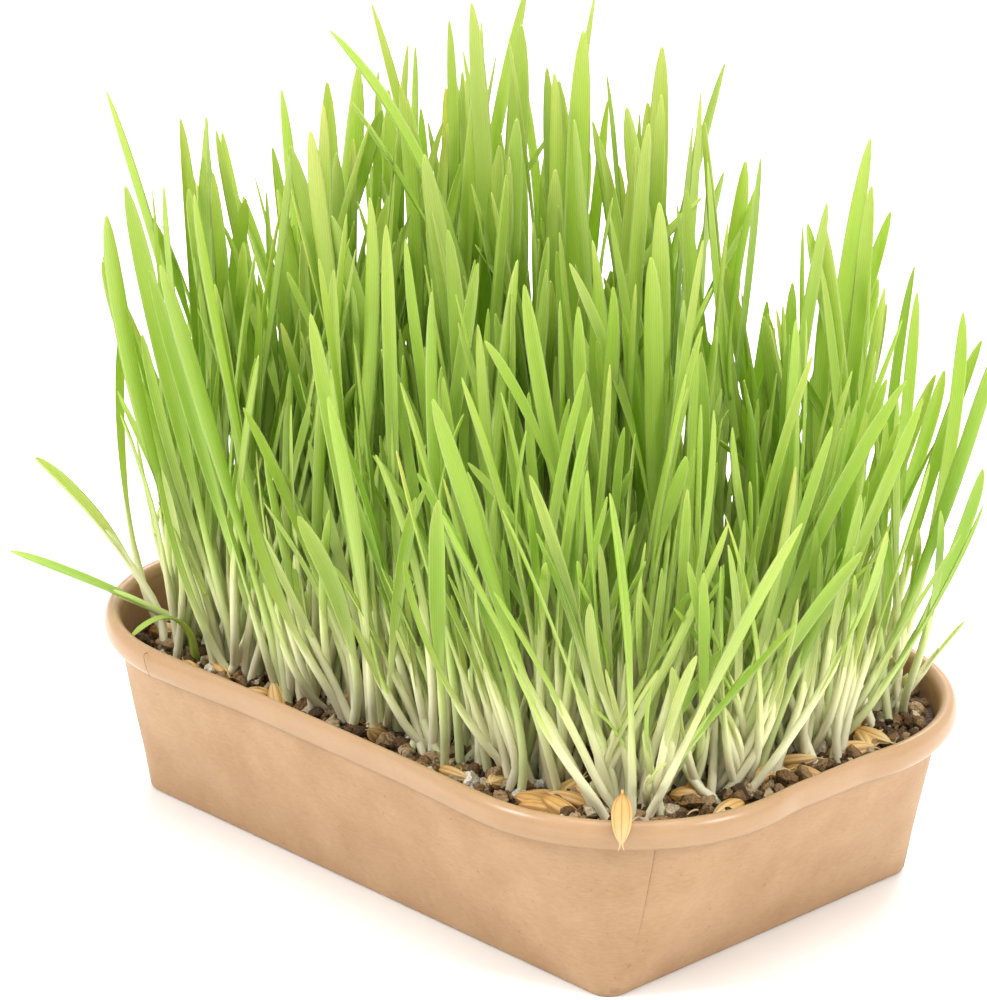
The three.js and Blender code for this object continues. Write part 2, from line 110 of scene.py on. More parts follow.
# Soil: level in the middle, rise towards +X, gap to the board, drop at its edge, length and height of the
# waves on it, the kind of stuff it is, and the width of the band that is seen along the board
SOIL_LEVEL = 32.5
SOIL_TILT = 0.034
SOIL_GAP = 0.4
SOIL_EDGE_DROP = 0.5
SOIL_WAVES = ((9.0, 1.1), (2.6, 0.9))
SOIL_RINGS = 60
SOIL_BED_KIND = 0.12
EDGE_BAND = 17.0

# Lumps on the soil: fineness, how many in the band and how many all over, margin to the board, least, usual
# and most radius, and the shares of the kinds of stuff, from dark peat at 0 to white pumice at 1
LUMPS = {
    "soil_crumbs": (2, 1800, 420, 1.6, (0.6, 1.15, 2.2), {0.05: 0.34, 0.24: 0.36, 0.42: 0.3}),
    "soil_grit": (3, 520, 80, 2.4, (0.9, 1.55, 2.6),
                  {0.4: 0.27, 0.55: 0.3, 0.7: 0.23, 0.86: 0.13, 0.97: 0.07}),
    "soil_pumice": (4, 150, 0, 3.2, (1.5, 1.95, 2.7), {0.48: 0.3, 0.62: 0.3, 0.76: 0.25, 0.93: 0.15}),
}
LUMP_SPREAD = 0.4
LUMP_STRETCH = (0.7, 1.1)
LUMP_SEAT = (-0.1, 0.65)
KIND_WANDER = 0.06

# A lump's form: fineness and height of its bumps, how far on each lump's noise starts, and its flat chips
LUMP_BUMPS = ((1.3, 0.35), (3.1, 0.14), (6.5, 0.1))
LUMP_NOISE_STEP = (3.7, 1.3, 2.1)
LUMP_CHIPS = 9
CHIP_FROM = (0.4, 0.8)
PERLITE_FINENESS = 4
PERLITE_FIRST = 500

# Kernels: size, ends and bluntness of the body, its section, its beak, its ribs and the crease below
KERNEL_LENGTH = 9.4
KERNEL_RADIUS = 1.75
KERNEL_SIZES = (0.92, 1.06)
KERNEL_STATIONS = 26
KERNEL_SIDES = 28
KERNEL_ENDS = (-0.985, 0.97)
KERNEL_BLUNT = (2.3, 0.75)
KERNEL_TAPER = 0.2
KERNEL_WIDE = 1.06
KERNEL_DEEP = 0.9
BEAK_GIRTH = 0.13
BEAK_RUN = (0.55, 0.85)
KERNEL_RIBS = 7
RIB_HEIGHT = 0.05
CREASE_TURN = 1.5 * math.pi
CREASE_DEPTH = 0.3
CREASE_WIDTH = 0.28

# The two frayed points on the beak: where they start, length, how they part and rise, and thickness
POINT_START = 0.8
POINT_LENGTH = 1.9
POINT_STATIONS = 5
POINT_PARTS = (0.12, 0.4)
POINT_RISE = 0.15
POINT_RADIUS = 0.2
POINT_SHADE = 0.95

# Loose kernels: how many more there are, their room, how high they lie, and how far they roll and pitch
EXTRA_KERNELS = 26
LOOSE_MARGIN = 6.5
KERNEL_CLEAR_OF_STEM = 2.4
EDGE_KERNEL_SEAT = 1.4
EXTRA_KERNEL_SEAT = 1.3
FRAME_KERNEL_ROLL = 0.6
LOOSE_KERNEL_ROLL = 3.0
EXTRA_KERNEL_PITCH = 0.35

# Kernels seen along the near edge: place on the soil, heading and pitch in degrees
EDGE_KERNELS = [
    (-11.8, -37.2, 60, 48), (4.1, -43.0, -75, 40), (28.5, -45.5, 0, 6), (37.0, -42.8, -60, 20),
    (49.5, -36.5, 40, 42), (55.0, -34.8, 25, 5), (60.7, -25.4, -20, -12), (67.4, -21.5, -68, -25),
    (56.3, 3.9, -60, 8), (71.8, -5.2, 52, 12), (70.8, 4.0, 35, 14), (66.6, 21.8, 95, 40),
    (74.6, 15.3, 60, 4), (-23.7, -44.6, 150, 35), (-43.0, -43.0, -10, 4), (48.3, 52.0, 40, 20),
]

# Threads: thin tubes for chaff, hairs and points
THREAD_SIDES = 6
THREAD_TIP = 0.35
THREAD_ASIDE = (0.31, 0.17, 0.93)

# Chaff: how many bits, length, bow, pitch, how high they lie, thickness and shade of the hull
CHAFF = 40
CHAFF_LENGTH = (3, 9)
CHAFF_POINTS = 7
CHAFF_BOW = 0.08
CHAFF_PITCH = 0.3
CHAFF_SEAT = 1.5
CHAFF_RADIUS = (0.12, 0.42)
CHAFF_SHADE = (0.1, 1.0)

# The dry root of the kernel over the rim: its start as a share of the kernel's length from the middle, then
# its turning point and its end, inward and upward from there
ROOTLET_START = 0.46
ROOTLET_TURN = (4, 2)
ROOTLET_END = (9, -11)
ROOTLET_RADIUS = 0.3
ROOTLET_SHADE = 0.6
ROOTLET_TONE = 0.5

# Fine root hairs that hang over the rim, as brown as the hull's grooves: start, turning point and end
ROOT_HAIRS = [
    ((-49.5, -51.0, 34.0), (-48.6, -60.6, 44.6), (-46.9, -57.7, 35.0)),
    ((20.0, -51.5, 37.0), (22.0, -54.0, 42.0), (25.0, -52.5, 40.4)),
]
HAIR_POINTS = 14
HAIR_RADIUS = 0.13
IN_GROOVE = -0.22

# Shoots: where the frame's rings sit along a shoot, from stem top to tip, how the finer skin is divided, how
# deep it stands in the soil, and the length over which it turns from cream to its last green
RING_SHARES = np.array([0.36, 0.7, 0.91, 1.0])
STATIONS = 26
STATION_POWER = 0.92
LAST_STATION = 0.994
SECTION_POINTS = 10
ROOT_SINK = 5.0
RISE_SCALE = 130.0

# The foot of a shoot swings aside, but not near the board: how far, up to what share, and how near
FOOT_SWING = 1.1
FOOT_SWING_TO = 0.18
FOOT_SWING_FROM_BOARD = 5.0

# Stem: its width, its girth at the foot and how much thinner it gets by what share
STEM_WIDTH = 1.55
STEM_FOOT = 1.05
STEM_THINNING = 0.18
STEM_THIN_BY = 0.3

# Blade: from where it opens and widens, the run of its tip, its fold, and width for short and tall shoots
BLADE_OPENS = 0.2
BLADE_OPEN_HALF = 0.5
BLADE_OPEN_LATER = 0.05
BLADE_WIDENS = 0.24
BLADE_FULL = 0.7
BLADE_TIP_FROM = 0.79
BLADE_TIP_RUN = 0.21
BLADE_TIP_POWERS = (2.3, 0.56)
BLADE_FOLD = (0.14, 0.42)
BLADE_FOLD_POWER = 1.5
BLADE_FOLD_MIDDLE = 0.45
BLADE_THICKNESS = 0.34
BLADE_THIN_TIP = 0.35
BLADE_SHORT = 0.62
BLADE_TALL = 1.1
BLADE_LENGTHS = (50, 130)

# Ripe tips: the share of shoots with yellow tips, how yellow those and the others are, and where it starts
YELLOW_SHARE = 0.05
YELLOW_TIPS = (0.6, 0.95)
OTHER_TIPS = (0.0, 0.35)
RIPE_FROM = (0.62, 0.94)
RIPE_TO = 1.05

# Sheaths: length, most share of the shoot, girth up the sleeve, slant of its end, how much it greens from
# foot to end, and how far round the stem its point may lie
SHEATH_SIDES = 8
SHEATH_LENGTH = (14, 32)
SHEATH_MOST = 0.5
SHEATH_GIRTH = np.array([1.1, 1.16, 1.13, 1.1, 1.08, 1.05, 1.0])
SHEATH_SLANT = 3.6
SHEATH_TIP = 0.4
SHEATH_GREEN = (0.3, 0.8)
SHEATH_ASIDE = (0.3, 0.9, 0.1)
SHEATH_TURN = 6

# Extra shoots beside the frame's: number, share of their height, wander, form, and room to the bare soil at
# the left end, to the board and to the rim
EXTRA_SHOOTS = 24
EXTRA_HEIGHT = (0.42, 0.96)
EXTRA_ROOT_SHIFT = 4.0
EXTRA_TIP_SHIFT = 10.0
EXTRA_BOW = 6
EXTRA_TWIST = 1.1
EXTRA_WIDTH = (2.0, 3.6)
EXTRA_FROM_X = -70.0
EXTRA_FROM_BOARD = 9.0
LOW_SHARES = np.linspace(0, 0.3, 7)
STEM_MARGIN = 2.0
RIM_CLEARANCE = 1

# The way in which the keel of an added shoot points; its facing is random, so any will do
ANY_KEEL = np.array([1.0, 0, 0])

# Shoots whose tips lean out less than this past the soil's edge count as upright
UPRIGHT_LEAN = 8.0

# Second leaves: how many shoots have one, where it parts, its length, how it leans away, and its form
SECOND_LEAF_SHARE = 0.3
SECOND_PARTS = (0.38, 0.55)
SECOND_AIM = 0.97
SECOND_LENGTH = (0.55, 0.95)
SECOND_AWAY = np.array([1, 1, 0.2]) * 0.16
SECOND_BOW = 0.4
SECOND_TWIST = 0.8
SECOND_WIDTH = (0.55, 0.8)
SECOND_START = 0.001
SECOND_STEM = 0.9
SECOND_GREEN = 0.3
SECOND_MARGIN = 2.0

# A bent leaf by the left end of the tray: root, turning point, tip and blade width
STRAY_LEAVES = [
    ((-53.6, -39.6, 34.0), (-52.8, -45.5, 48.0), (-58.4, -53.1, 38.5), 1.8),
]
STRAY_TWIST = 0.3
STRAY_GREEN = 0.4

# UV map: where a tube's strip starts and how far it goes, across and up, and the oval under it for the
# tube's foot, by half-width, middle and half-height
STRIP_ACROSS = (0.05, 0.9)
STRIP_UP = (0.03, 0.95)
STRIP_FOOT = (0.4, 0.014, 0.012)

# Camera, as the photo was taken, in millimetres
CAMERA_AZIMUTH = math.radians(45.995)
CAMERA_ELEVATION = math.radians(21.167)
CAMERA_ROLL = math.radians(0.393)
CAMERA_DISTANCE = 1014.42
CAMERA_SIDEWAYS = -5.509
CAMERA_UPWARD = 65.982
SENSOR = 36.0
FOCAL_PER_WIDTH = 5.008

# Stage, in metres: how far the camera sees, half the floor's side, the point that the lights face, and the
# lights by azimuth, elevation, distance, size and power
CAMERA_SEES_TO = 20
FLOOR_REACH = 4.0
LIT_POINT = Vector((0, 0, 0.08))
LIGHTS = {
    "key": (-24, 36, 1.5, 0.35, 12.6),
    "fill": (104, 33, 1.5, 0.35, 10.5),
    "back": (215, 50, 1.4, 1.0, 20.0),
    "top": (60, 80, 1.3, 1.0, 12.0),
}
WORLD_LIGHT = 0.84


def linear(code):
    """An sRGB hex colour as linear RGBA."""
    parts = [int(code[i:i + 2], 16) / 255 for i in (1, 3, 5)]
    return [p / 12.92 if p <= 0.04045 else ((p + 0.055) / 1.055) ** 2.4 for p in parts] + [1.0]


def smoothstep(low, high, value):
    share = np.clip((value - low) / (high - low), 0, 1)
    return share * share * (3 - 2 * share)


def add(tree, kind, inputs=None, stops=None, **settings):
    """Adds a shader node: its settings, its sockets' values or links, and a ramp's stops.

    A node given as a value stands for its first output.
    """
    made = tree.nodes.new("ShaderNode" + kind)
    for name, value in settings.items():
        setattr(made, name, value)
    for socket, value in (inputs or {}).items():
        if isinstance(value, bpy.types.Node):
            value = value.outputs[0]
        if isinstance(value, bpy.types.NodeSocket):
            tree.links.new(value, made.inputs[socket])
        else:
            made.inputs[socket].default_value = value
    for index, (place, code) in enumerate(stops or []):
        ramp = made.color_ramp.elements
        stop = ramp[index] if index < 2 else ramp.new(place)
        stop.position = place
        stop.color = linear(code)
    return made


def attribute(tree, name):
    """A value that the mesh holds for each point."""
    return add(tree, "Attribute", attribute_name=name).outputs["Fac"]


def cloud(tree, where, length, detail, roughness=0.5):
    """Noise with lumps of a length in millimetres."""
    return add(tree, "TexNoise", {"Vector": where, "Scale": 1 / (length * MM), "Detail": detail,
                                  "Roughness": roughness}).outputs["Fac"]


def remap(tree, value, source, target):
    """A value moved from one span to another and kept within it."""
    return add(tree, "MapRange", {"Value": value, "From Min": source[0], "From Max": source[1],
                                  "To Min": target[0], "To Max": target[1]})


def mix(tree, share, first, second):
    """A colour between two; the node's sockets for colours are 6 and 7, and output 2."""
    return add(tree, "Mix", {0: share, 6: first, 7: second}, data_type="RGBA").outputs[2]


def bump(tree, height, strength, depth):
    """A relief of a depth in millimetres."""
    return add(tree, "Bump", {"Height": height, "Strength": strength, "Distance": depth * MM})


def full_turn(count):
    """Equal turns around a circle."""
    return np.arange(count) / count * 2 * math.pi


def nodes_named(start):
    return sorted(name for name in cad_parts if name.startswith(start))


def new_material(name):
    material = bpy.data.materials.new(name)
    material.use_nodes = True
    material.node_tree.nodes.clear()
    return material, material.node_tree


def finish_material(tree, shader):
    add(tree, "OutputMaterial", {"Surface": shader})


def new_piece(name, points, faces, material, attributes=None, uv=None):
    """A mesh piece from points in millimetres, with float attributes per point."""
    mesh = bpy.data.meshes.new(name)
    mesh.from_pydata((np.asarray(points) * MM).tolist(), [], faces)
    mesh.update()
    mesh.shade_smooth()
    for key, values in (attributes or {}).items():
        layer = mesh.attributes.new(key, "FLOAT", "POINT")
        layer.data.foreach_set("value", np.asarray(values, np.float32))
    if uv is not None:
        layer = mesh.uv_layers.new(name="OFBake")
        layer.data.foreach_set("uv", np.asarray(uv, np.float32).ravel())
    mesh.materials.append(material)
    piece = bpy.data.objects.new(name, mesh)
    bpy.context.scene.collection.objects.link(piece)
    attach(piece, "root")
    return piece


def ring_faces(rings, count):
    """Quads between consecutive closed rings of equally many points."""
    side = np.arange(count)
    after = (side + 1) % count
    low = (np.arange(rings - 1) * count)[:, None]
    quads = np.stack([low + side, low + after, low + count + after, low + count + side], -1)
    return quads.reshape(-1, 4)


class Skin:
    """Closed tubes gathered into one mesh, each with a strip of the UV map to itself."""

    def __init__(self):
        self.tubes = []

    def add_tube(self, rings, tip, **attributes):
        """Rings of points from the foot up, the tip that closes them, and values per ring point."""
        self.tubes.append((rings, tip, attributes))

    def piece(self, name, material, slot):
        points, faces, uv = [], [], []
        values = {key: [] for key in self.tubes[0][2]}
        start = 0
        for index, (rings, tip, attributes) in enumerate(self.tubes):
            levels, count = rings.shape[:2]
            points += [rings.reshape(-1, 3), np.asarray(tip)[None]]
            for key, value in attributes.items():
                spread = np.broadcast_to(value, (levels, count))
                values[key].append(np.append(spread.ravel(), spread[-1].mean()))
            side = np.arange(count)
            after = (side + 1) % count
            top = (levels - 1) * count
            apex = np.full(count, levels * count)
            faces += (ring_faces(levels, count) + start).tolist()
            faces += (np.stack([top + side, top + after, apex], -1) + start).tolist()
            faces.append((side[::-1] + start).tolist())
            uv.append(self.strip(index, levels, count))
            start += levels * count + 1
        joined = {key: np.concatenate(value) for key, value in values.items()}
        return new_piece(name, np.concatenate(points), faces, material, joined,
                         np.concatenate(uv))

    def strip(self, index, levels, count):
        """Corners of one tube's faces in its own strip: foot at the bottom, tip at the top."""
        across = (index + STRIP_ACROSS[0] + STRIP_ACROSS[1] * np.arange(count + 1) / count) / len(self.tubes)
        up = STRIP_UP[0] + STRIP_UP[1] * np.arange(levels + 1) / levels
        row, side = (grid.ravel() for grid in np.mgrid[:levels - 1, :count])
        left, right = across[side], across[side + 1]
        low, high = up[row], up[row + 1]
        quads = np.stack([left, low, right, low, right, high, left, high], -1).reshape(-1, 2)
        ends = np.arange(count)
        left, right = across[ends], across[ends + 1]
        low, high = np.full(count, up[-2]), np.full(count, up[-1])
        fan = np.stack([left, low, right, low, (left + right) / 2, high], -1).reshape(-1, 2)
        turn = full_turn(count)
        half_width, middle, half_height = STRIP_FOOT
        wide = half_width * (across[-1] - across[0])
        foot = np.stack([across.mean() + wide * np.cos(turn), middle + half_height * np.sin(turn)], -1)
        return np.concatenate([quads, fan, foot])


# Kraft board: uncoated brown paper board, pressed warm at the rim; soft mottle, long fibres and small dark
# flecks keep it papery, and the pressed rim has a faint gloss; a deep brown is painted on as shade under the
# roll, over the inside and along the laps' cut edges
def kraft_board():
    material, tree = new_material("kraft_board_uncoated")
    where = add(tree, "TexCoord").outputs["Object"]
    rim, painted_shade = attribute(tree, "rim"), attribute(tree, "painted_shade")
    mottle = cloud(tree, where, 11, 5.0)
    fibre_way = add(tree, "Mapping", {"Vector": where, "Scale": (0.22, 0.22, 1.0)})
    fibre = cloud(tree, fibre_way, 0.35, 3.0, 0.6)
    fleck = cloud(tree, where, 1.3, 2.0, 0.7)
    base = add(tree, "ValToRGB", {"Fac": mottle}, stops=[(0.3, "#a4805b"), (0.7, "#b2906c")])
    thread = add(tree, "ValToRGB", {"Fac": fibre}, stops=[(0.36, "#845d3b"), (0.66, "#c5a584")])
    fibred = mix(tree, 0.13, base, thread)
    dark = remap(tree, fleck, (0.67, 0.75), (0, 0.5))
    flecked = mix(tree, dark, fibred, linear("#84583a"))
    pressed = remap(tree, rim, (0, 1), (0, 0.6))
    rimmed = mix(tree, pressed, flecked, linear("#a98764"))
    # Painted shade: deep brown mixed in under the roll, over the inside wall and along the laps' cut edges
    with_painted_shade = mix(tree, painted_shade, rimmed, linear("#6b3f26"))
    grain = bump(tree, fibre, 0.1, 0.12)
    gloss = remap(tree, rim, (0, 1), (0.62, 0.28))
    board = add(tree, "BsdfPrincipled", {"Base Color": with_painted_shade, "Roughness": gloss, "Normal": grain,
                                         "Specular IOR Level": 0.4})
    finish_material(tree, board)
    return material


# Living leaf: cream sheath low down, lime green above; the thin blade lets light through, paler margins are
# painted in as light shining through its thin edges, and fine parallel veins run along it
def living_leaf():
    material, tree = new_material("cereal_leaf_living")
    rise, across, edge, tone, ripe, thin = (
        attribute(tree, name) for name in ("rise", "across", "edge", "tone", "ripe", "thin"))
    late = remap(tree, tone, (0, 1), (1.35, 0.75))
    greening = add(tree, "Math", {0: rise, 1: late}, operation="MULTIPLY")
    green = add(tree, "ValToRGB", {"Fac": greening}, stops=[
        (0.0, "#e9e3c4"), (1.0, "#ced880"), (0.08, "#e2e2ae"), (0.18, "#d7df93"),
        (0.3, "#c6d975"), (0.45, "#b9d35a"), (0.7, "#bcd35d")])
    deep = remap(tree, tone, (0.45, 0), (0, 0.5))
    deepened = mix(tree, deep, green, linear("#96c03a"))
    # Painted light: the blade's edges are paled as if lit through from behind
    margin = remap(tree, edge, (0.78, 1), (0, 0.6))
    with_painted_edge_glow = mix(tree, margin, deepened, linear("#dee4ac"))
    ripened = mix(tree, ripe, with_painted_edge_glow, linear("#e6e08c"))
    # Veins every 0.42 mm, about nine to a blade
    turn = add(tree, "Math", {0: across, 1: 2 * math.pi / 0.42}, operation="MULTIPLY")
    vein = add(tree, "Math", {0: turn}, operation="SINE")
    veined = remap(tree, vein, (-1, 1), (0.94, 1.04))
    color = add(tree, "VectorMath", {0: ripened, 1: veined}, operation="MULTIPLY")
    ribs = bump(tree, vein, 0.22, 0.04)
    skin = add(tree, "BsdfPrincipled", {"Base Color": color, "Roughness": 0.45, "Normal": ribs,
                                        "Specular IOR Level": 0.5})
    passed = add(tree, "VectorMath", {0: color, 1: (0.96, 1.0, 0.5)}, operation="MULTIPLY")
    glow = add(tree, "BsdfTranslucent", {"Color": passed, "Normal": ribs})
    through = remap(tree, thin, (0, 1), (0.08, 0.46))
    leaf = add(tree, "MixShader", {0: through, 1: skin, 2: glow})
    finish_material(tree, leaf)
    return material


# Moist potting soil: dark crumbs and lighter mineral grit; the attribute says what each lump is made of
def moist_soil():
    material, tree = new_material("potting_soil_moist")
    where = add(tree, "TexCoord").outputs["Object"]
    kind = attribute(tree, "grit")
    grain = cloud(tree, where, 1.1, 6.0, 0.7)
    stuff = add(tree, "ValToRGB", {"Fac": kind}, stops=[
        (0.0, "#3b2713"), (1.0, "#eee7d8"), (0.3, "#70502c"), (0.5, "#9a7a50"),
        (0.68, "#b89f7c"), (0.85, "#cfbfa2")])
    shade = remap(tree, grain, (0.3, 0.7), (0.6, 1.2))
    color = add(tree, "VectorMath", {0: stuff, 1: shade}, operation="MULTIPLY")
    pits = add(tree, "TexVoronoi", {"Vector": where, "Scale": 1 / (0.8 * MM)})
    relief = add(tree, "Math", {0: grain, 1: pits.outputs["Distance"]}, operation="ADD")
    rough = bump(tree, relief, 1.0, 0.6)
    soil = add(tree, "BsdfPrincipled", {"Base Color": color, "Roughness": 0.75, "Normal": rough})
    finish_material(tree, soil)
    return material


# Dry kernel hull: straw-coloured husk with long ribs, brown in the grooves and towards its ends
def dry_hull():
    material, tree = new_material("kernel_hull_dry")
    along, across, tone = (attribute(tree, name) for name in ("along", "across", "tone"))
    where = add(tree, "TexCoord").outputs["Object"]
    blotch = cloud(tree, where, 1.6, 4.0)
    hull = add(tree, "ValToRGB", {"Fac": along}, stops=[
        (0.0, "#a87839"), (1.0, "#dac08c"), (0.2, "#cda05c"), (0.65, "#d7b275")])
    worn = add(tree, "Math", {0: tone, 1: blotch}, operation="MULTIPLY")
    aged = mix(tree, worn, hull, linear("#b07d3d"))
    turn = add(tree, "Math", {0: across, 1: KERNEL_RIBS}, operation="MULTIPLY")
    rib = add(tree, "Math", {0: turn}, operation="SINE")
    groove = remap(tree, rib, (-0.7, -1), (0, 0.55))
    lined = mix(tree, groove, aged, linear("#8a5b28"))
    ribbed = bump(tree, rib, 0.4, 0.1)
    husk = add(tree, "BsdfPrincipled", {"Base Color": lined, "Roughness": 0.46, "Normal": ribbed})
    finish_material(tree, husk)
    return material


# Chalky perlite: expanded glass foam, white, pitted and stained by the soil
def chalky_perlite():
    material, tree = new_material("perlite_chalky")
    where = add(tree, "TexCoord").outputs["Object"]
    pits = add(tree, "TexVoronoi", {"Vector": where, "Scale": 1 / (0.7 * MM)})
    stain = cloud(tree, where, 2.5, 4.0)
    color = add(tree, "ValToRGB", {"Fac": stain}, stops=[(0.35, "#b5a88f"), (0.6, "#e8e3d8")])
    pitted = bump(tree, pits.outputs["Distance"], 0.6, 0.35)
    chalk = add(tree, "BsdfPrincipled", {"Base Color": color, "Roughness": 0.9, "Normal": pitted})
    finish_material(tree, chalk)
    return material


# Tray
def wall_sizes(height, outward):
    """Half-sizes and corner radius of the wall's outer outline at a height."""
    share = min(height / ROLL_MIDDLE, 1)
    half = BASE_HALF + (RIM_HALF - ROLL_OVERHANG - BASE_HALF) * share + outward
    return half, BASE_CORNER + (RIM_CORNER - ROLL_OVERHANG - BASE_CORNER) * share + outward


def outline(height, outward):
    """Points around the wall at a height, anticlockwise from the side +X."""
    half, radius = wall_sizes(height, outward)
    inner = half - radius
    signs = np.array([(1, 1), (-1, 1), (-1, -1), (1, -1)])
    points = []
    for quarter in range(4):
        turn = (quarter + np.linspace(0, 1, CORNER_STEPS + 1)) * math.pi / 2
        arc = signs[quarter] * inner + radius * np.stack([np.cos(turn), np.sin(turn)], -1)
        end = signs[(quarter + 1) % 4] * inner + radius * np.array([math.cos(turn[-1]), math.sin(turn[-1])])
        share = np.linspace(0, 1, SIDE_STEPS[(quarter + 1) % 2] + 1)[1:-1, None]
        points += [arc, arc[-1] + (end - arc[-1]) * share]
    flat = np.concatenate(points)
    return np.column_stack([flat, np.full(len(flat), height)])


def straightness():
    """For each outline point 0 on the round corners, rising to 1 along the straight sides."""
    values = []
    for quarter in range(4):
        share = np.linspace(0, 1, SIDE_STEPS[(quarter + 1) % 2] + 1)[1:-1]
        pressed = smoothstep(0, PRESS_RUN, share) * smoothstep(0, PRESS_RUN, 1 - share)
        values += [np.zeros(CORNER_STEPS + 1), pressed]
    return np.concatenate(values)


def rolled(turn, inset, straight):
    """One ring of the rolled rim, which is pressed narrower along the straight sides."""
    angle = math.pi - turn
    width = ROLL_WIDTH + (ROLL_PRESSED - ROLL_WIDTH) * straight
    outward = width / 2 - BOARD + (width / 2 - inset) * math.cos(angle)
    ring = outline(ROLL_MIDDLE, 0)
    ring += (outline(ROLL_MIDDLE, 1) - ring) * outward[:, None]
    ring[:, 2] = ROLL_MIDDLE + (ROLL_HEIGHT / 2 - inset) * math.sin(angle)
    return ring


def wall_wave(x, y, height):
    """How far the wall swells there; it is true at the rim and the underside."""
    swing = WALL_WAVE * smoothstep(0, WALL_WAVE_FROM, height)
    swing *= smoothstep(ROLL_MIDDLE, ROLL_MIDDLE - WALL_WAVE_FROM, height)
    return noise.noise(Vector((x, y, height)) / WALL_WAVE_LENGTH) * float(swing)


def uneven_wall(height, outward):
    """A ring of the wall, a little wavy as folded board is."""
    ring = outline(height, outward)
    wave = np.array([wall_wave(*point) for point in ring])
    return ring + (outline(height, outward + 1) - ring) * wave[:, None]


def build_tray(material):
    straight = straightness()
    levels = np.linspace(0, 1, WALL_LEVELS)
    fold = np.linspace(0, math.pi / 2, FOLD_STEPS)
    turns = np.linspace(0, ROLL_TURN, ROLL_STEPS)
    wall_run = ROLL_MIDDLE - FOLD_RADIUS
    inner_run = BOARD + INNER_FOLD_UP - ROLL_MIDDLE
    outside = [outline(FOLD_RADIUS * (1 - math.cos(a)), FOLD_RADIUS * (math.sin(a) - 1)) for a in fold]
    outside += [uneven_wall(FOLD_RADIUS + level * wall_run, 0) for level in levels[1:]]
    roll = [rolled(turn, BOARD, straight) for turn in turns[1:]]
    roll += [rolled(turn, 0, straight) for turn in turns[::-1]]
    inside = [uneven_wall(ROLL_MIDDLE + level * inner_run, -BOARD) for level in levels[1:]]
    inside += [outline(BOARD, -BOARD - INNER_FOLD_IN)]
    rings = outside + roll + inside
    count = len(rings[0])
    faces = ring_faces(len(rings), count).tolist()
    faces.append(list(range(count))[::-1])
    faces.append([(len(rings) - 1) * count + i for i in range(count)])
    rim = np.repeat([0.0, 1.0, 0.0], [len(outside) * count, len(roll) * count, len(inside) * count])
    # Painted shade: darker on the roll's underside, where the bead turns back under, and over the whole
    # inside wall
    shade = ROLL_SHADE * smoothstep(*ROLL_SHADE_TURNS, turns)
    inside_shade = np.full(len(inside), INSIDE_SHADE)
    painted_shade = np.concatenate([np.zeros(len(outside)), shade[1:], shade[::-1], inside_shade])
    tray = new_piece("tray_board", np.concatenate(rings), faces, material,
                     {"rim": rim, "painted_shade": np.repeat(painted_shade, count)})
    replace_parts(tray, "tray")


def lap_point(edges, height, share, outward):
    """A point on the short side's wall, a share of the way from the lap's edge round the corner."""
    half, radius = wall_sizes(height, outward)
    inner = half - radius
    edge = edges[0] + (edges[1] - edges[0]) * height / ROLL_MIDDLE
    straight = max(inner[1] - edge, 0)
    first = math.asin(np.clip((edge - inner[1]) / radius, 0, LAST_EDGE))
    run = share * min(LAP_REACH, straight + radius * (LAP_LAST - first))
    if run < straight:
        return half[0], edge + run
    angle = first + (run - straight) / radius
    return inner[0] + radius * math.cos(angle), inner[1] + radius * math.sin(angle)


def build_laps(material):
    """The glued corner laps: a second layer of board with its cut edge on the short sides."""
    heights = np.linspace(LAP_MARGIN, ROLL_MIDDLE - LAP_MARGIN, LAP_LEVELS)
    points, faces, painted_shade = [], [], []
    width = len(LAP_SHARES)
    for (mirror_x, mirror_y), edges in LAP_EDGES.items():
        start = len(points)
        for height in heights:
            open_edge = float(smoothstep(LAP_OPEN_FROM, LAP_OPEN_TO, height))
            step = LAP_STEP * (LAP_CLOSED + (1 - LAP_CLOSED) * open_edge)
            front, behind = [], []
            for share in LAP_SHARES:
                fade = float(smoothstep(LAP_FADE_FROM, 1, share))
                lift = step * (1 - fade) - LAP_END_SUNK * fade
                x, y = lap_point(edges, height, share, 0)
                wave = wall_wave(mirror_x * x, mirror_y * y, height)
                for row, outward in ((front, lift + LAP_CLEAR + wave), (behind, -LAP_SUNK)):
                    x, y = lap_point(edges, height, share, outward)
                    row.append((mirror_x * x, mirror_y * y, height))
            points += front + behind[::-1]
            # Painted shade: a dark line on the lap's cut edge, stronger higher up where it opens
            edge = [LAP_EDGE_SHADE * open_edge]
            painted_shade += edge + [0.0] * (2 * width - 2) + edge
        flip = mirror_x * mirror_y < 0
        ring = ring_faces(LAP_LEVELS, 2 * width)
        caps = [np.arange(2 * width)[::-1], np.arange(2 * width) + (LAP_LEVELS - 1) * 2 * width]
        for face in list(ring) + caps:
            faces.append((start + (face[::-1] if flip else face)).tolist())
    new_piece("tray_corner_laps", points, faces, material,
              {"rim": np.zeros(len(points)), "painted_shade": painted_shade})


# Soil
def soil_level(x):
    return SOIL_LEVEL + SOIL_TILT * x


def inside_soil(x, y, margin):
    half, radius = wall_sizes(soil_level(x), -BOARD - SOIL_GAP - margin)
    over = np.maximum(np.abs([x, y]) - half + radius, 0)
    return np.hypot(*over) <= radius and abs(x) <= half[0] and abs(y) <= half[1]


def soil_relief(x, y):
    height = soil_level(x)
    for length, swing in SOIL_WAVES:
        height += noise.noise(Vector((x, y, 0.0)) / length) * swing
    return height


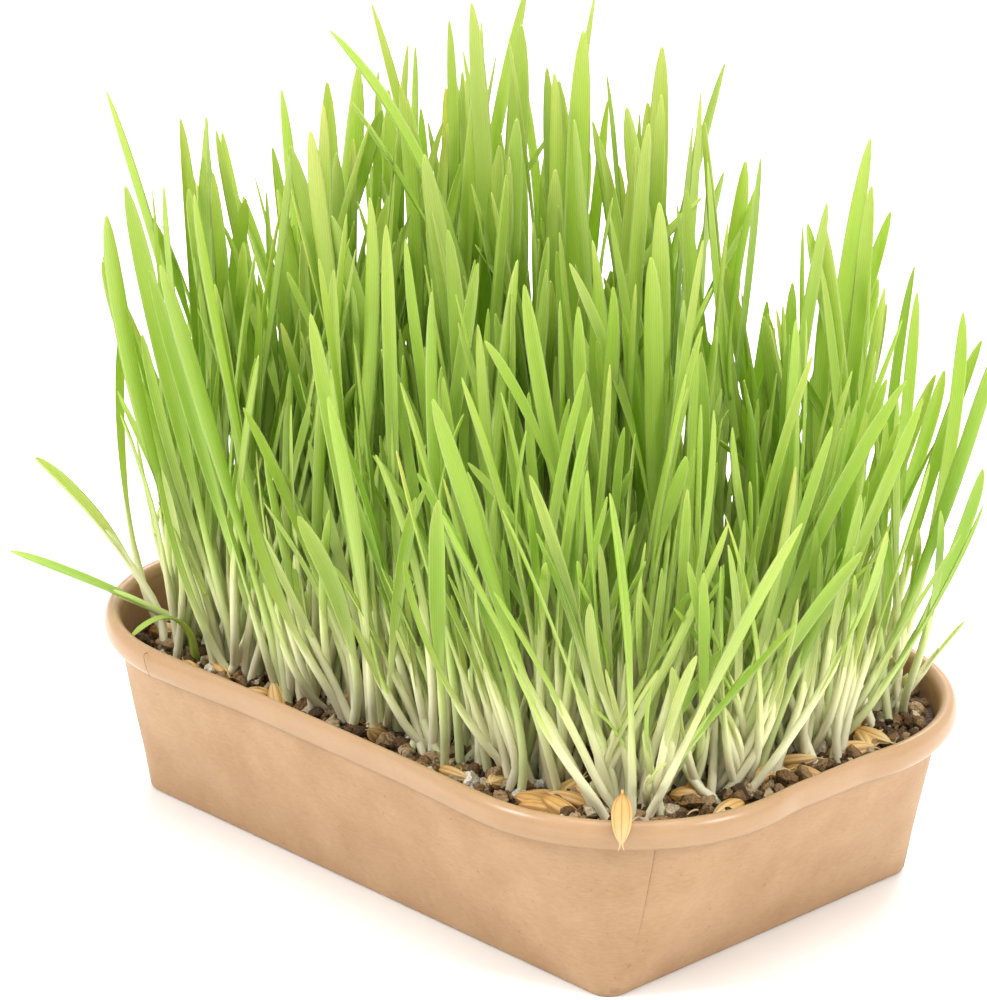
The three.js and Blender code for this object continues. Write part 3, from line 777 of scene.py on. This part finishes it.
def build_soil(material):
    inset = -BOARD - SOIL_GAP
    edge = outline(SOIL_LEVEL, inset)
    rim_height = [soil_level(x) - SOIL_EDGE_DROP for x in edge[:, 0]]
    rim = np.array([outline(height, inset)[i] for i, height in enumerate(rim_height)])
    rings = [outline(BOARD + SOIL_GAP, inset), rim]
    for share in np.linspace(1, 0, SOIL_RINGS)[1:-1]:
        ring = edge * [share, share, 1]
        ring[:, 2] = [soil_relief(x, y) for x, y, _ in ring]
        rings.append(ring)
    count = len(edge)
    points = np.concatenate(rings + [np.array([[0, 0, soil_relief(0, 0)]])])
    faces = ring_faces(len(rings), count).tolist()
    faces.append(list(range(count))[::-1])
    last = (len(rings) - 1) * count
    faces += [[last + i, last + (i + 1) % count, len(points) - 1] for i in range(count)]
    soil = new_piece("soil_bed", points, faces, material,
                     {"grit": np.full(len(points), SOIL_BED_KIND)})
    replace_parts(soil, "soil")


def ball(fineness):
    """Points and faces of a ball of triangles."""
    work = bmesh.new()
    bmesh.ops.create_icosphere(work, subdivisions=fineness, radius=1)
    points = np.array([v.co for v in work.verts])
    faces = np.array([[v.index for v in f.verts] for f in work.faces])
    work.free()
    return points, faces


BALLS = {fineness: ball(fineness) for fineness in (2, 3, 4)}


def lump(fineness, number):
    """A broken lump of about unit radius: a ball pushed in and out by noise and chipped flat."""
    points, faces = BALLS[fineness]
    offset = Vector([number * step for step in LUMP_NOISE_STEP])
    push = np.ones(len(points))
    for closeness, height in LUMP_BUMPS:
        push += [height * noise.noise(Vector(p) * closeness + offset) for p in points]
    shape = points * push[:, None]
    for _ in range(LUMP_CHIPS):
        way = rng.normal(size=3)
        way /= np.linalg.norm(way)
        shape = shape - np.maximum(shape @ way - rng.uniform(*CHIP_FROM), 0)[:, None] * way
    return shape, faces


def scatter(count, margin, band=None):
    """Random places on the soil, all over or only in a band along the board."""
    places = []
    while len(places) < count:
        x = rng.uniform(-RIM_HALF[0], RIM_HALF[0])
        y = rng.uniform(-RIM_HALF[1], RIM_HALF[1])
        if inside_soil(x, y, margin) and not (band and inside_soil(x, y, band)):
            places.append((x, y))
    return places


def build_lumps(name, material):
    """One sort of lumps lying on the soil."""
    fineness, at_edge, all_over, margin, sizes, kinds = LUMPS[name]
    places = scatter(at_edge, margin, EDGE_BAND) + scatter(all_over, margin)
    points, faces, grit = [], [], []
    start = 0
    for index, (x, y) in enumerate(places):
        radius = float(np.clip(rng.lognormal(math.log(sizes[1]), LUMP_SPREAD), sizes[0], sizes[2]))
        shape, sides = lump(fineness, index)
        shape = shape * (radius * rng.uniform(*LUMP_STRETCH, 3))
        points.append(shape + [x, y, soil_relief(x, y) + rng.uniform(*LUMP_SEAT) * radius])
        faces += (sides + start).tolist()
        start += len(shape)
        kind = rng.choice(list(kinds), p=list(kinds.values())) + rng.uniform(-KIND_WANDER, KIND_WANDER)
        grit.append(np.full(len(shape), np.clip(kind, 0, 1)))
    new_piece(name, np.concatenate(points), faces, material,
              {"grit": np.concatenate(grit)})


def build_perlite(name, number, material):
    low, high = (np.array(corner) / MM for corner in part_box(name))
    shape, sides = lump(PERLITE_FINENESS, PERLITE_FIRST + number)
    size = (high - low) / np.ptp(shape, axis=0)
    points = (shape - (shape.max(0) + shape.min(0)) / 2) * size + (low + high) / 2
    piece = new_piece(name + "_chalk", points, sides.tolist(), material)
    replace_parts(piece, name)


# Kernels
def turned(axis, roll):
    """The turn that lays +X along an axis, after a roll about it."""
    way = Vector(axis).normalized().to_track_quat("X", "Z").to_matrix()
    return np.array(way @ Matrix.Rotation(roll, 3, "X")).T


def add_kernel(skin, centre, axis, roll):
    """A husked kernel: ribs, a crease below, and a beak that ends in two frayed points."""
    turn_way = turned(axis, roll)
    size = rng.uniform(*KERNEL_SIZES)
    tone = rng.uniform(0.0, 1.0)
    share = np.linspace(*KERNEL_ENDS, KERNEL_STATIONS)
    turn = full_turn(KERNEL_SIDES)
    body = (1 - np.abs(share) ** KERNEL_BLUNT[0]) ** KERNEL_BLUNT[1] * (1 - KERNEL_TAPER * share)
    beak = BEAK_GIRTH * smoothstep(*BEAK_RUN, share)
    girth = np.maximum(body, beak)[:, None]
    ribs = 1 + RIB_HEIGHT * np.sin(KERNEL_RIBS * turn)
    crease = 1 - CREASE_DEPTH * np.exp(-((turn - CREASE_TURN) / CREASE_WIDTH) ** 2)
    radius = KERNEL_RADIUS * girth * ribs * crease
    x = np.broadcast_to(share[:, None] * KERNEL_LENGTH / 2, radius.shape)
    across, deep = radius * np.cos(turn) * KERNEL_WIDE, radius * np.sin(turn) * KERNEL_DEEP
    rings = np.stack([x, across, deep], -1)
    tip = np.array([KERNEL_LENGTH / 2, 0, 0])
    skin.add_tube(rings * size @ turn_way + centre, tip * size @ turn_way + centre,
                  along=(share[:, None] + 1) / 2, across=turn, tone=tone)
    for side in (-1, 1):
        run = np.linspace(0, 1, POINT_STATIONS)
        aside = side * (POINT_PARTS[0] + POINT_PARTS[1] * run ** 2)
        path = np.stack([POINT_START * KERNEL_LENGTH / 2 + run * POINT_LENGTH, aside, POINT_RISE * run], -1)
        add_thread(skin, path * size @ turn_way + centre, POINT_RADIUS, along=POINT_SHADE, across=0.0,
                   tone=tone)


def ways_along(path):
    """The way ahead at each point of a path."""
    ahead = np.gradient(path, axis=0)
    return ahead / np.linalg.norm(ahead, axis=1)[:, None]


def ways_around(ahead, aside, turn):
    """Ways square to each way ahead, turned about it; aside is a way that none of them runs along."""
    level = np.cross(ahead, aside)
    level /= np.linalg.norm(level, axis=1)[:, None]
    upright = np.cross(ahead, level)
    return level[:, None] * np.cos(turn)[None, :, None] + upright[:, None] * np.sin(turn)[None, :, None]


def add_thread(skin, path, radius, **attributes):
    """A thin tapering tube along a path."""
    ahead = ways_along(path)
    around = ways_around(ahead, THREAD_ASIDE, full_turn(THREAD_SIDES))
    thick = radius * np.linspace(1, THREAD_TIP, len(path))[:, None, None]
    skin.add_tube(path[:, None] + thick * around, path[-1] + ahead[-1] * radius, **attributes)


def add_rootlet(skin, centre, axis):
    """The dry root that holds the hanging kernel: from its upper end over the rim and down to the soil."""
    top = centre - axis * KERNEL_LENGTH * ROOTLET_START
    inward = -np.append(axis[:2], 0) / np.linalg.norm(axis[:2])
    turn, end = (top + inward * across + [0, 0, up] for across, up in (ROOTLET_TURN, ROOTLET_END))
    path = bend((top, turn, end), np.linspace(0, 1, HAIR_POINTS))
    add_thread(skin, path, ROOTLET_RADIUS, along=ROOTLET_SHADE, across=0.0, tone=ROOTLET_TONE)


def clear_of(x, y, taken, distance):
    return np.min(np.hypot(*(taken - [x, y]).T)) > distance


def build_kernels(material, roots):
    """The frame's kernels, those seen along the near edge, and more on free places between the roots."""
    for name in nodes_named("kernel"):
        points = np.array([v.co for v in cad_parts[name].data.vertices]) / MM
        centre = (points.min(0) + points.max(0)) / 2
        _, _, ways = np.linalg.svd(points - points.mean(0), full_matrices=False)
        axis = ways[0] * (-1 if name == "kernel_over_rim" and ways[0][2] > 0 else 1)
        skin = Skin()
        add_kernel(skin, centre, axis, rng.uniform(-FRAME_KERNEL_ROLL, FRAME_KERNEL_ROLL))
        if name == "kernel_over_rim":
            add_rootlet(skin, centre, axis)
        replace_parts(skin.piece(name + "_husk", material, "kernel_hull"), name)
    loose = Skin()
    for x, y, heading, pitch in EDGE_KERNELS:
        heading, pitch = math.radians(heading), math.radians(pitch)
        axis = (math.cos(heading) * math.cos(pitch), math.sin(heading) * math.cos(pitch), math.sin(pitch))
        centre = np.array([x, y, soil_relief(x, y) + EDGE_KERNEL_SEAT])
        add_kernel(loose, centre, axis, rng.uniform(-LOOSE_KERNEL_ROLL, LOOSE_KERNEL_ROLL))
    placed = 0
    while placed < EXTRA_KERNELS:
        (x, y), = scatter(1, LOOSE_MARGIN, EDGE_BAND)
        if clear_of(x, y, roots, KERNEL_CLEAR_OF_STEM):
            placed += 1
            yaw = rng.uniform(0, 2 * math.pi)
            axis = (math.cos(yaw), math.sin(yaw), rng.uniform(-EXTRA_KERNEL_PITCH, EXTRA_KERNEL_PITCH))
            centre = np.array([x, y, soil_relief(x, y) + EXTRA_KERNEL_SEAT])
            add_kernel(loose, centre, axis, rng.uniform(-LOOSE_KERNEL_ROLL, LOOSE_KERNEL_ROLL))
    loose.piece("loose_kernels", material, "kernel_hull")


def build_chaff(material):
    """Split hulls, straw bits and root hairs among the kernels."""
    skin = Skin()
    for x, y in scatter(CHAFF, LOOSE_MARGIN, EDGE_BAND):
        yaw = rng.uniform(0, 2 * math.pi)
        length = rng.uniform(*CHAFF_LENGTH)
        run = np.linspace(-0.5, 0.5, CHAFF_POINTS)[:, None] * length
        way = np.array([[math.cos(yaw), math.sin(yaw), rng.uniform(-CHAFF_PITCH, CHAFF_PITCH)]])
        bow = rng.normal(size=(1, 3)) * CHAFF_BOW * length * (2 * run / length) ** 2
        path = np.array([[x, y, soil_relief(x, y) + CHAFF_SEAT]]) + run * way + bow
        add_thread(skin, path, rng.uniform(*CHAFF_RADIUS), along=rng.uniform(*CHAFF_SHADE), across=0.0,
                   tone=rng.uniform(0, 1))
    for hair in ROOT_HAIRS:
        path = bend(hair, np.linspace(0, 1, HAIR_POINTS))
        add_thread(skin, path, HAIR_RADIUS, along=0.0, across=IN_GROOVE, tone=1.0)
    skin.piece("chaff_and_root_hairs", material, "kernel_hull")


def bend(points, share):
    """Points along the smooth curve through a start, towards a turning point, to an end."""
    start, turn, end = (np.array(p, float) for p in points)
    share = np.asarray(share)[:, None]
    return start * (1 - share) ** 2 + turn * 2 * share * (1 - share) + end * share ** 2


# Shoots
def widest(corners):
    """The longest side of a triangle."""
    pairs = [corners[1] - corners[0], corners[2] - corners[1], corners[0] - corners[2]]
    return max(pairs, key=np.linalg.norm)


def keel_point(corners):
    """The corner of a triangle that faces its longest side."""
    gaps = [np.linalg.norm(corners[(i + 1) % 3] - corners[(i + 2) % 3]) for i in range(3)]
    return corners[int(np.argmax(gaps))]


def read_shoots(name):
    """Each shoot of a tuft from its frame solid: curve, facing, twist, keel and width."""
    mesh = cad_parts[name].data
    raw = np.array([v.co for v in mesh.vertices]) / MM
    _, first, weld = np.unique(np.round(raw, 3), axis=0, return_index=True, return_inverse=True)
    weld = weld.ravel()
    points = raw[first]
    joined = [set() for _ in points]
    for polygon in mesh.polygons:
        corners = [weld[i] for i in polygon.vertices]
        for corner in corners:
            joined[corner].update(corners)
    for index, others in enumerate(joined):
        others.discard(index)
    shoots = []
    for tip, ring in enumerate(joined):
        if len(ring) != 3 or points[tip][2] < TRAY_HEIGHT:
            continue
        rings, seen = [], {tip}
        while len(rings) < 3 and len(ring) == 3:
            rings.append(sorted(ring))
            seen |= ring
            ring = set().union(*(joined[i] for i in rings[-1])) - seen
        if len(rings) == 3:
            shoots.append(shoot_from_rings([points[r] for r in rings], points[tip]))
    return shoots


def shoot_from_rings(rings, tip):
    """The rings' middles lie on one quadratic curve, at known shares of it."""
    middles = np.array([ring.mean(0) for ring in rings[::-1]] + [tip])
    sides = [widest(rings[1]), widest(rings[0])]
    angles = [math.atan2(side[1], side[0]) for side in sides]
    bend_angle = (angles[1] - angles[0] + math.pi / 2) % math.pi - math.pi / 2
    twist = bend_angle / (RING_SHARES[2] - RING_SHARES[1])
    return {"curve": np.polyfit(RING_SHARES, middles, 2), "twist": twist,
            "facing": angles[0] - twist * RING_SHARES[1],
            "keel": rings[1].mean(0) - keel_point(rings[1]),
            "width": float(np.linalg.norm(sides[0]))}


def curve_through(root, turn, tip):
    """Coefficients of the quadratic curve from a root towards a turning point to a tip."""
    root, turn, tip = (np.array(p, float) for p in (root, turn, tip))
    return np.array([root - 2 * turn + tip, 2 * (turn - root), root])


def along_curve(curve, share):
    return np.stack([np.polyval(curve[:, axis], share) for axis in range(3)], -1)


def add_blade(skin, shoot, start=0.0, stem=STEM_WIDTH, sheath=True, green=0.0):
    """One shoot's finer skin: a round stem that opens into a folded blade, and a sheath round its foot."""
    curve = shoot["curve"]
    length = float(np.linalg.norm(curve[0] + curve[1]))
    share = np.linspace(start, 1, STATIONS + 1)[:-1] ** STATION_POWER
    share = np.append(share, LAST_STATION)
    if start == 0:
        share = np.insert(share, 0, -ROOT_SINK / length)
    middle = along_curve(curve, share)
    swing = np.append(rng.normal(size=2) * FOOT_SWING, 0)
    if start > 0 or not inside_soil(*along_curve(curve, 0.0)[:2], FOOT_SWING_FROM_BOARD):
        swing = np.zeros(3)
    low = np.clip(1 - np.maximum(share, 0) / FOOT_SWING_TO, 0, 1)
    middle = middle + swing * (low ** 2)[:, None]
    ahead = ways_along(middle)
    turn = shoot["facing"] + shoot["twist"] * share
    side = np.stack([np.cos(turn), np.sin(turn), np.zeros_like(turn)], -1)
    side -= ahead * np.sum(side * ahead, 1)[:, None]
    side /= np.linalg.norm(side, axis=1)[:, None]
    face = np.cross(ahead, side)
    if np.dot(face[len(face) * 2 // 3], shoot["keel"]) < 0:
        side, face = -side, -face
    open_by = start + BLADE_OPEN_HALF * (1 - start) + BLADE_OPEN_LATER
    opened = smoothstep(start + BLADE_OPENS, open_by, share)
    late = np.clip((share - BLADE_TIP_FROM) / BLADE_TIP_RUN, 0, 1)
    taper = (1 - late ** BLADE_TIP_POWERS[0]) ** BLADE_TIP_POWERS[1]
    widened = smoothstep(start + BLADE_WIDENS, BLADE_FULL, share)
    width = (stem + (shoot["width"] - stem) * widened) * taper
    round_half = stem / 2 * (STEM_FOOT - STEM_THINNING * smoothstep(0.0, STEM_THIN_BY, share))
    fold = rng.uniform(*BLADE_FOLD)
    phi = full_turn(SECTION_POINTS)
    reach, rise = np.cos(phi)[None], np.sin(phi)[None]
    half = ((1 - opened) * round_half + opened * width / 2)[:, None]
    channel = (np.abs(reach) ** BLADE_FOLD_POWER - BLADE_FOLD_MIDDLE) * width[:, None] * fold
    thick = BLADE_THIN_TIP + (1 - BLADE_THIN_TIP) * taper
    flat = channel + BLADE_THICKNESS / 2 * rise * thick[:, None]
    deep = (1 - opened)[:, None] * round_half[:, None] * rise + opened[:, None] * flat
    rings = middle[:, None] + side[:, None] * (half * reach)[:, :, None] + face[:, None] * deep[:, :, None]
    tone = rng.uniform()
    yellow = rng.uniform(*(YELLOW_TIPS if rng.uniform() < YELLOW_SHARE else OTHER_TIPS))
    ripe = yellow * smoothstep(rng.uniform(*RIPE_FROM), RIPE_TO, share)
    climbed = np.clip(share, 0, 1) * length / RISE_SCALE + green
    skin.add_tube(rings, along_curve(curve, 1.0), rise=climbed[:, None], across=half * reach,
                  edge=np.abs(reach) * opened[:, None], tone=tone, ripe=ripe[:, None],
                  thin=opened[:, None])
    if sheath:
        add_sheath(skin, middle, share, ahead, stem, length, tone)


def add_sheath(skin, middle, share, ahead, stem, length, tone):
    """The pale sleeve that a shoot grew out of; it ends in a slanting point against the stem."""
    top = min(rng.uniform(*SHEATH_LENGTH) / length, SHEATH_MOST)
    levels = np.concatenate([[-ROOT_SINK / length], np.linspace(0, top, len(SHEATH_GIRTH) - 1)])
    centre, way = (np.stack([np.interp(levels, share, values[:, axis]) for axis in range(3)], -1)
                   for values in (middle, ahead))
    phi = full_turn(SHEATH_SIDES) + rng.uniform(0, SHEATH_TURN)
    thick = stem / 2 * SHEATH_GIRTH[:, None, None]
    slant = np.linspace(0, 1, len(levels))[:, None] ** 3 * np.cos(phi)[None] * SHEATH_SLANT
    rings = centre[:, None] + thick * ways_around(way, SHEATH_ASIDE, phi) + way[:, None] * slant[:, :, None]
    tip = centre[-1] + way[-1] * SHEATH_TIP
    green = np.linspace(*SHEATH_GREEN, len(levels))
    rise = np.clip(levels * length / RISE_SCALE * green, 0, 1)[:, None]
    skin.add_tube(rings, tip, rise=rise, across=0.0, edge=0.0, tone=tone, ripe=0.0, thin=0.0)


def second_leaf(shoot):
    """A younger, narrower leaf that parts from a shoot half-way up."""
    base = along_curve(shoot["curve"], rng.uniform(*SECOND_PARTS))
    ahead = along_curve(shoot["curve"], SECOND_AIM) - base
    away = rng.normal(size=3) * SECOND_AWAY * np.linalg.norm(ahead)
    tip = base + ahead * rng.uniform(*SECOND_LENGTH) + away
    turn = base + (tip - base) * 0.5 - away * SECOND_BOW
    return {"curve": curve_through(base, turn, tip), "facing": rng.uniform(0, 2 * math.pi),
            "twist": rng.uniform(-SECOND_TWIST, SECOND_TWIST), "keel": ANY_KEEL,
            "width": shoot["width"] * rng.uniform(*SECOND_WIDTH)}


def extra_shoot(model):
    """A shoot beside one of the frame's, no taller than it; None where it comes too near the board."""
    root, tip = (along_curve(model["curve"], share) for share in (0.0, 1.0))
    shift = np.append(rng.uniform(-EXTRA_ROOT_SHIFT, EXTRA_ROOT_SHIFT, 2), 0)
    sway = np.append(rng.uniform(-EXTRA_TIP_SHIFT, EXTRA_TIP_SHIFT, 2), 0)
    new_root = root + shift
    new_tip = new_root + (tip - root) * rng.uniform(*EXTRA_HEIGHT) + sway
    bow = np.append(rng.uniform(-EXTRA_BOW, EXTRA_BOW, 2), 0)
    shoot = {"curve": curve_through(new_root, (new_root + new_tip) / 2 + bow, new_tip),
             "facing": rng.uniform(0, 2 * math.pi), "twist": rng.uniform(-EXTRA_TWIST, EXTRA_TWIST),
             "keel": ANY_KEEL, "width": rng.uniform(*EXTRA_WIDTH)}
    low = along_curve(shoot["curve"], LOW_SHARES)
    clear = all(z > TRAY_HEIGHT + RIM_CLEARANCE or inside_soil(x, y, STEM_MARGIN) for x, y, z in low)
    clear = clear and new_root[0] > EXTRA_FROM_X and inside_soil(*new_root[:2], EXTRA_FROM_BOARD)
    return shoot if clear else None


def tip_inside(shoot, margin):
    return inside_soil(*along_curve(shoot["curve"], 1.0)[:2], margin)


def build_tuft(name, material):
    """All shoots of a tuft as one piece; returns where they stand."""
    skin = Skin()
    shoots = read_shoots(name)
    upright = [shoot for shoot in shoots if tip_inside(shoot, -UPRIGHT_LEAN)]
    extra = []
    while len(extra) < EXTRA_SHOOTS:
        shoot = extra_shoot(upright[rng.integers(len(upright))])
        if shoot:
            extra.append(shoot)
    for shoot in upright + extra:
        length = np.linalg.norm(shoot["curve"][0] + shoot["curve"][1])
        shoot["width"] *= BLADE_SHORT + (BLADE_TALL - BLADE_SHORT) * smoothstep(*BLADE_LENGTHS, length)
    for shoot in shoots + extra:
        add_blade(skin, shoot)
        young = second_leaf(shoot)
        if rng.uniform() < SECOND_LEAF_SHARE and tip_inside(young, SECOND_MARGIN):
            add_blade(skin, young, start=SECOND_START, stem=SECOND_STEM, sheath=False, green=SECOND_GREEN)
    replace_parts(skin.piece(name + "_shoots", material, "wheatgrass"), name)
    return [along_curve(shoot["curve"], 0.0)[:2] for shoot in shoots + extra]


def build_stray_leaves(material):
    skin = Skin()
    for root, turn, tip, width in STRAY_LEAVES:
        heading = math.atan2(tip[1] - root[1], tip[0] - root[0])
        leaf_shape = {"curve": curve_through(root, turn, tip), "facing": heading + math.pi / 2,
                      "twist": STRAY_TWIST, "keel": np.array([0, 0, 1.0]), "width": width}
        add_blade(skin, leaf_shape, sheath=False, green=STRAY_GREEN)
    skin.piece("stray_leaves", material, "wheatgrass")


# Stage
def build_stage():
    material, tree = new_material("studio_paper_white")
    finish_material(tree, add(tree, "BsdfPrincipled", {
        "Base Color": linear("#f4f4f2"), "Roughness": 0.9}))
    mesh = bpy.data.meshes.new("floor")
    corners = ((-1, -1), (1, -1), (1, 1), (-1, 1))
    mesh.from_pydata([(x * FLOOR_REACH, y * FLOOR_REACH, 0) for x, y in corners], [], [[0, 1, 2, 3]])
    mesh.materials.append(material)
    floor = bpy.data.objects.new("floor", mesh)
    bpy.context.scene.collection.objects.link(floor)
    world = bpy.data.worlds.new("studio")
    world.use_nodes = True
    world.node_tree.nodes["Background"].inputs[0].default_value = (1, 1, 1, 1)
    world.node_tree.nodes["Background"].inputs[1].default_value = WORLD_LIGHT
    bpy.context.scene.world = world
    for name, (azimuth, elevation, distance, size, power) in LIGHTS.items():
        lamp = bpy.data.lights.new(name, "AREA")
        lamp.size = size
        lamp.energy = power
        light = bpy.data.objects.new(name, lamp)
        towards = view_axes(math.radians(azimuth), math.radians(elevation))[2]
        light.location = towards * distance + LIT_POINT
        light.rotation_euler = towards.to_track_quat("Z", "Y").to_euler()
        bpy.context.scene.collection.objects.link(light)


def view_axes(azimuth, elevation):
    """Right, up and back of a view that looks along +Y at azimuth 0."""
    right = Vector((math.cos(azimuth), math.sin(azimuth), 0))
    level = Vector((math.sin(azimuth), -math.cos(azimuth), 0))
    back = level * math.cos(elevation) + Vector((0, 0, math.sin(elevation)))
    return right, back.cross(right), back


def build_camera():
    right, up, back = view_axes(CAMERA_AZIMUTH, CAMERA_ELEVATION)
    rolled_right = right * math.cos(CAMERA_ROLL) + up * math.sin(CAMERA_ROLL)
    rolled_up = up * math.cos(CAMERA_ROLL) - right * math.sin(CAMERA_ROLL)
    place = back * CAMERA_DISTANCE + rolled_right * CAMERA_SIDEWAYS + rolled_up * CAMERA_UPWARD
    lens = bpy.data.cameras.new("camera")
    lens.sensor_width = SENSOR
    lens.lens = FOCAL_PER_WIDTH * SENSOR
    lens.clip_end = CAMERA_SEES_TO
    camera = bpy.data.objects.new("camera", lens)
    camera.matrix_world = Matrix((rolled_right, rolled_up, back)).transposed().to_4x4()
    camera.location = place * MM
    bpy.context.scene.collection.objects.link(camera)
    bpy.context.scene.camera = camera


board, leaf, earth = kraft_board(), living_leaf(), moist_soil()
hull, chalk = dry_hull(), chalky_perlite()
build_tray(board)
build_laps(board)
build_soil(earth)
for lumps in LUMPS:
    build_lumps(lumps, earth)
roots = []
for tuft in nodes_named("tuft"):
    roots += build_tuft(tuft, leaf)
build_stray_leaves(leaf)
build_kernels(hull, np.array(roots))
build_chaff(hull)
for number, lump_name in enumerate(nodes_named("perlite")):
    build_perlite(lump_name, number, chalk)
build_stage()
build_camera()
bpy.context.scene.view_settings.view_transform = "Standard"
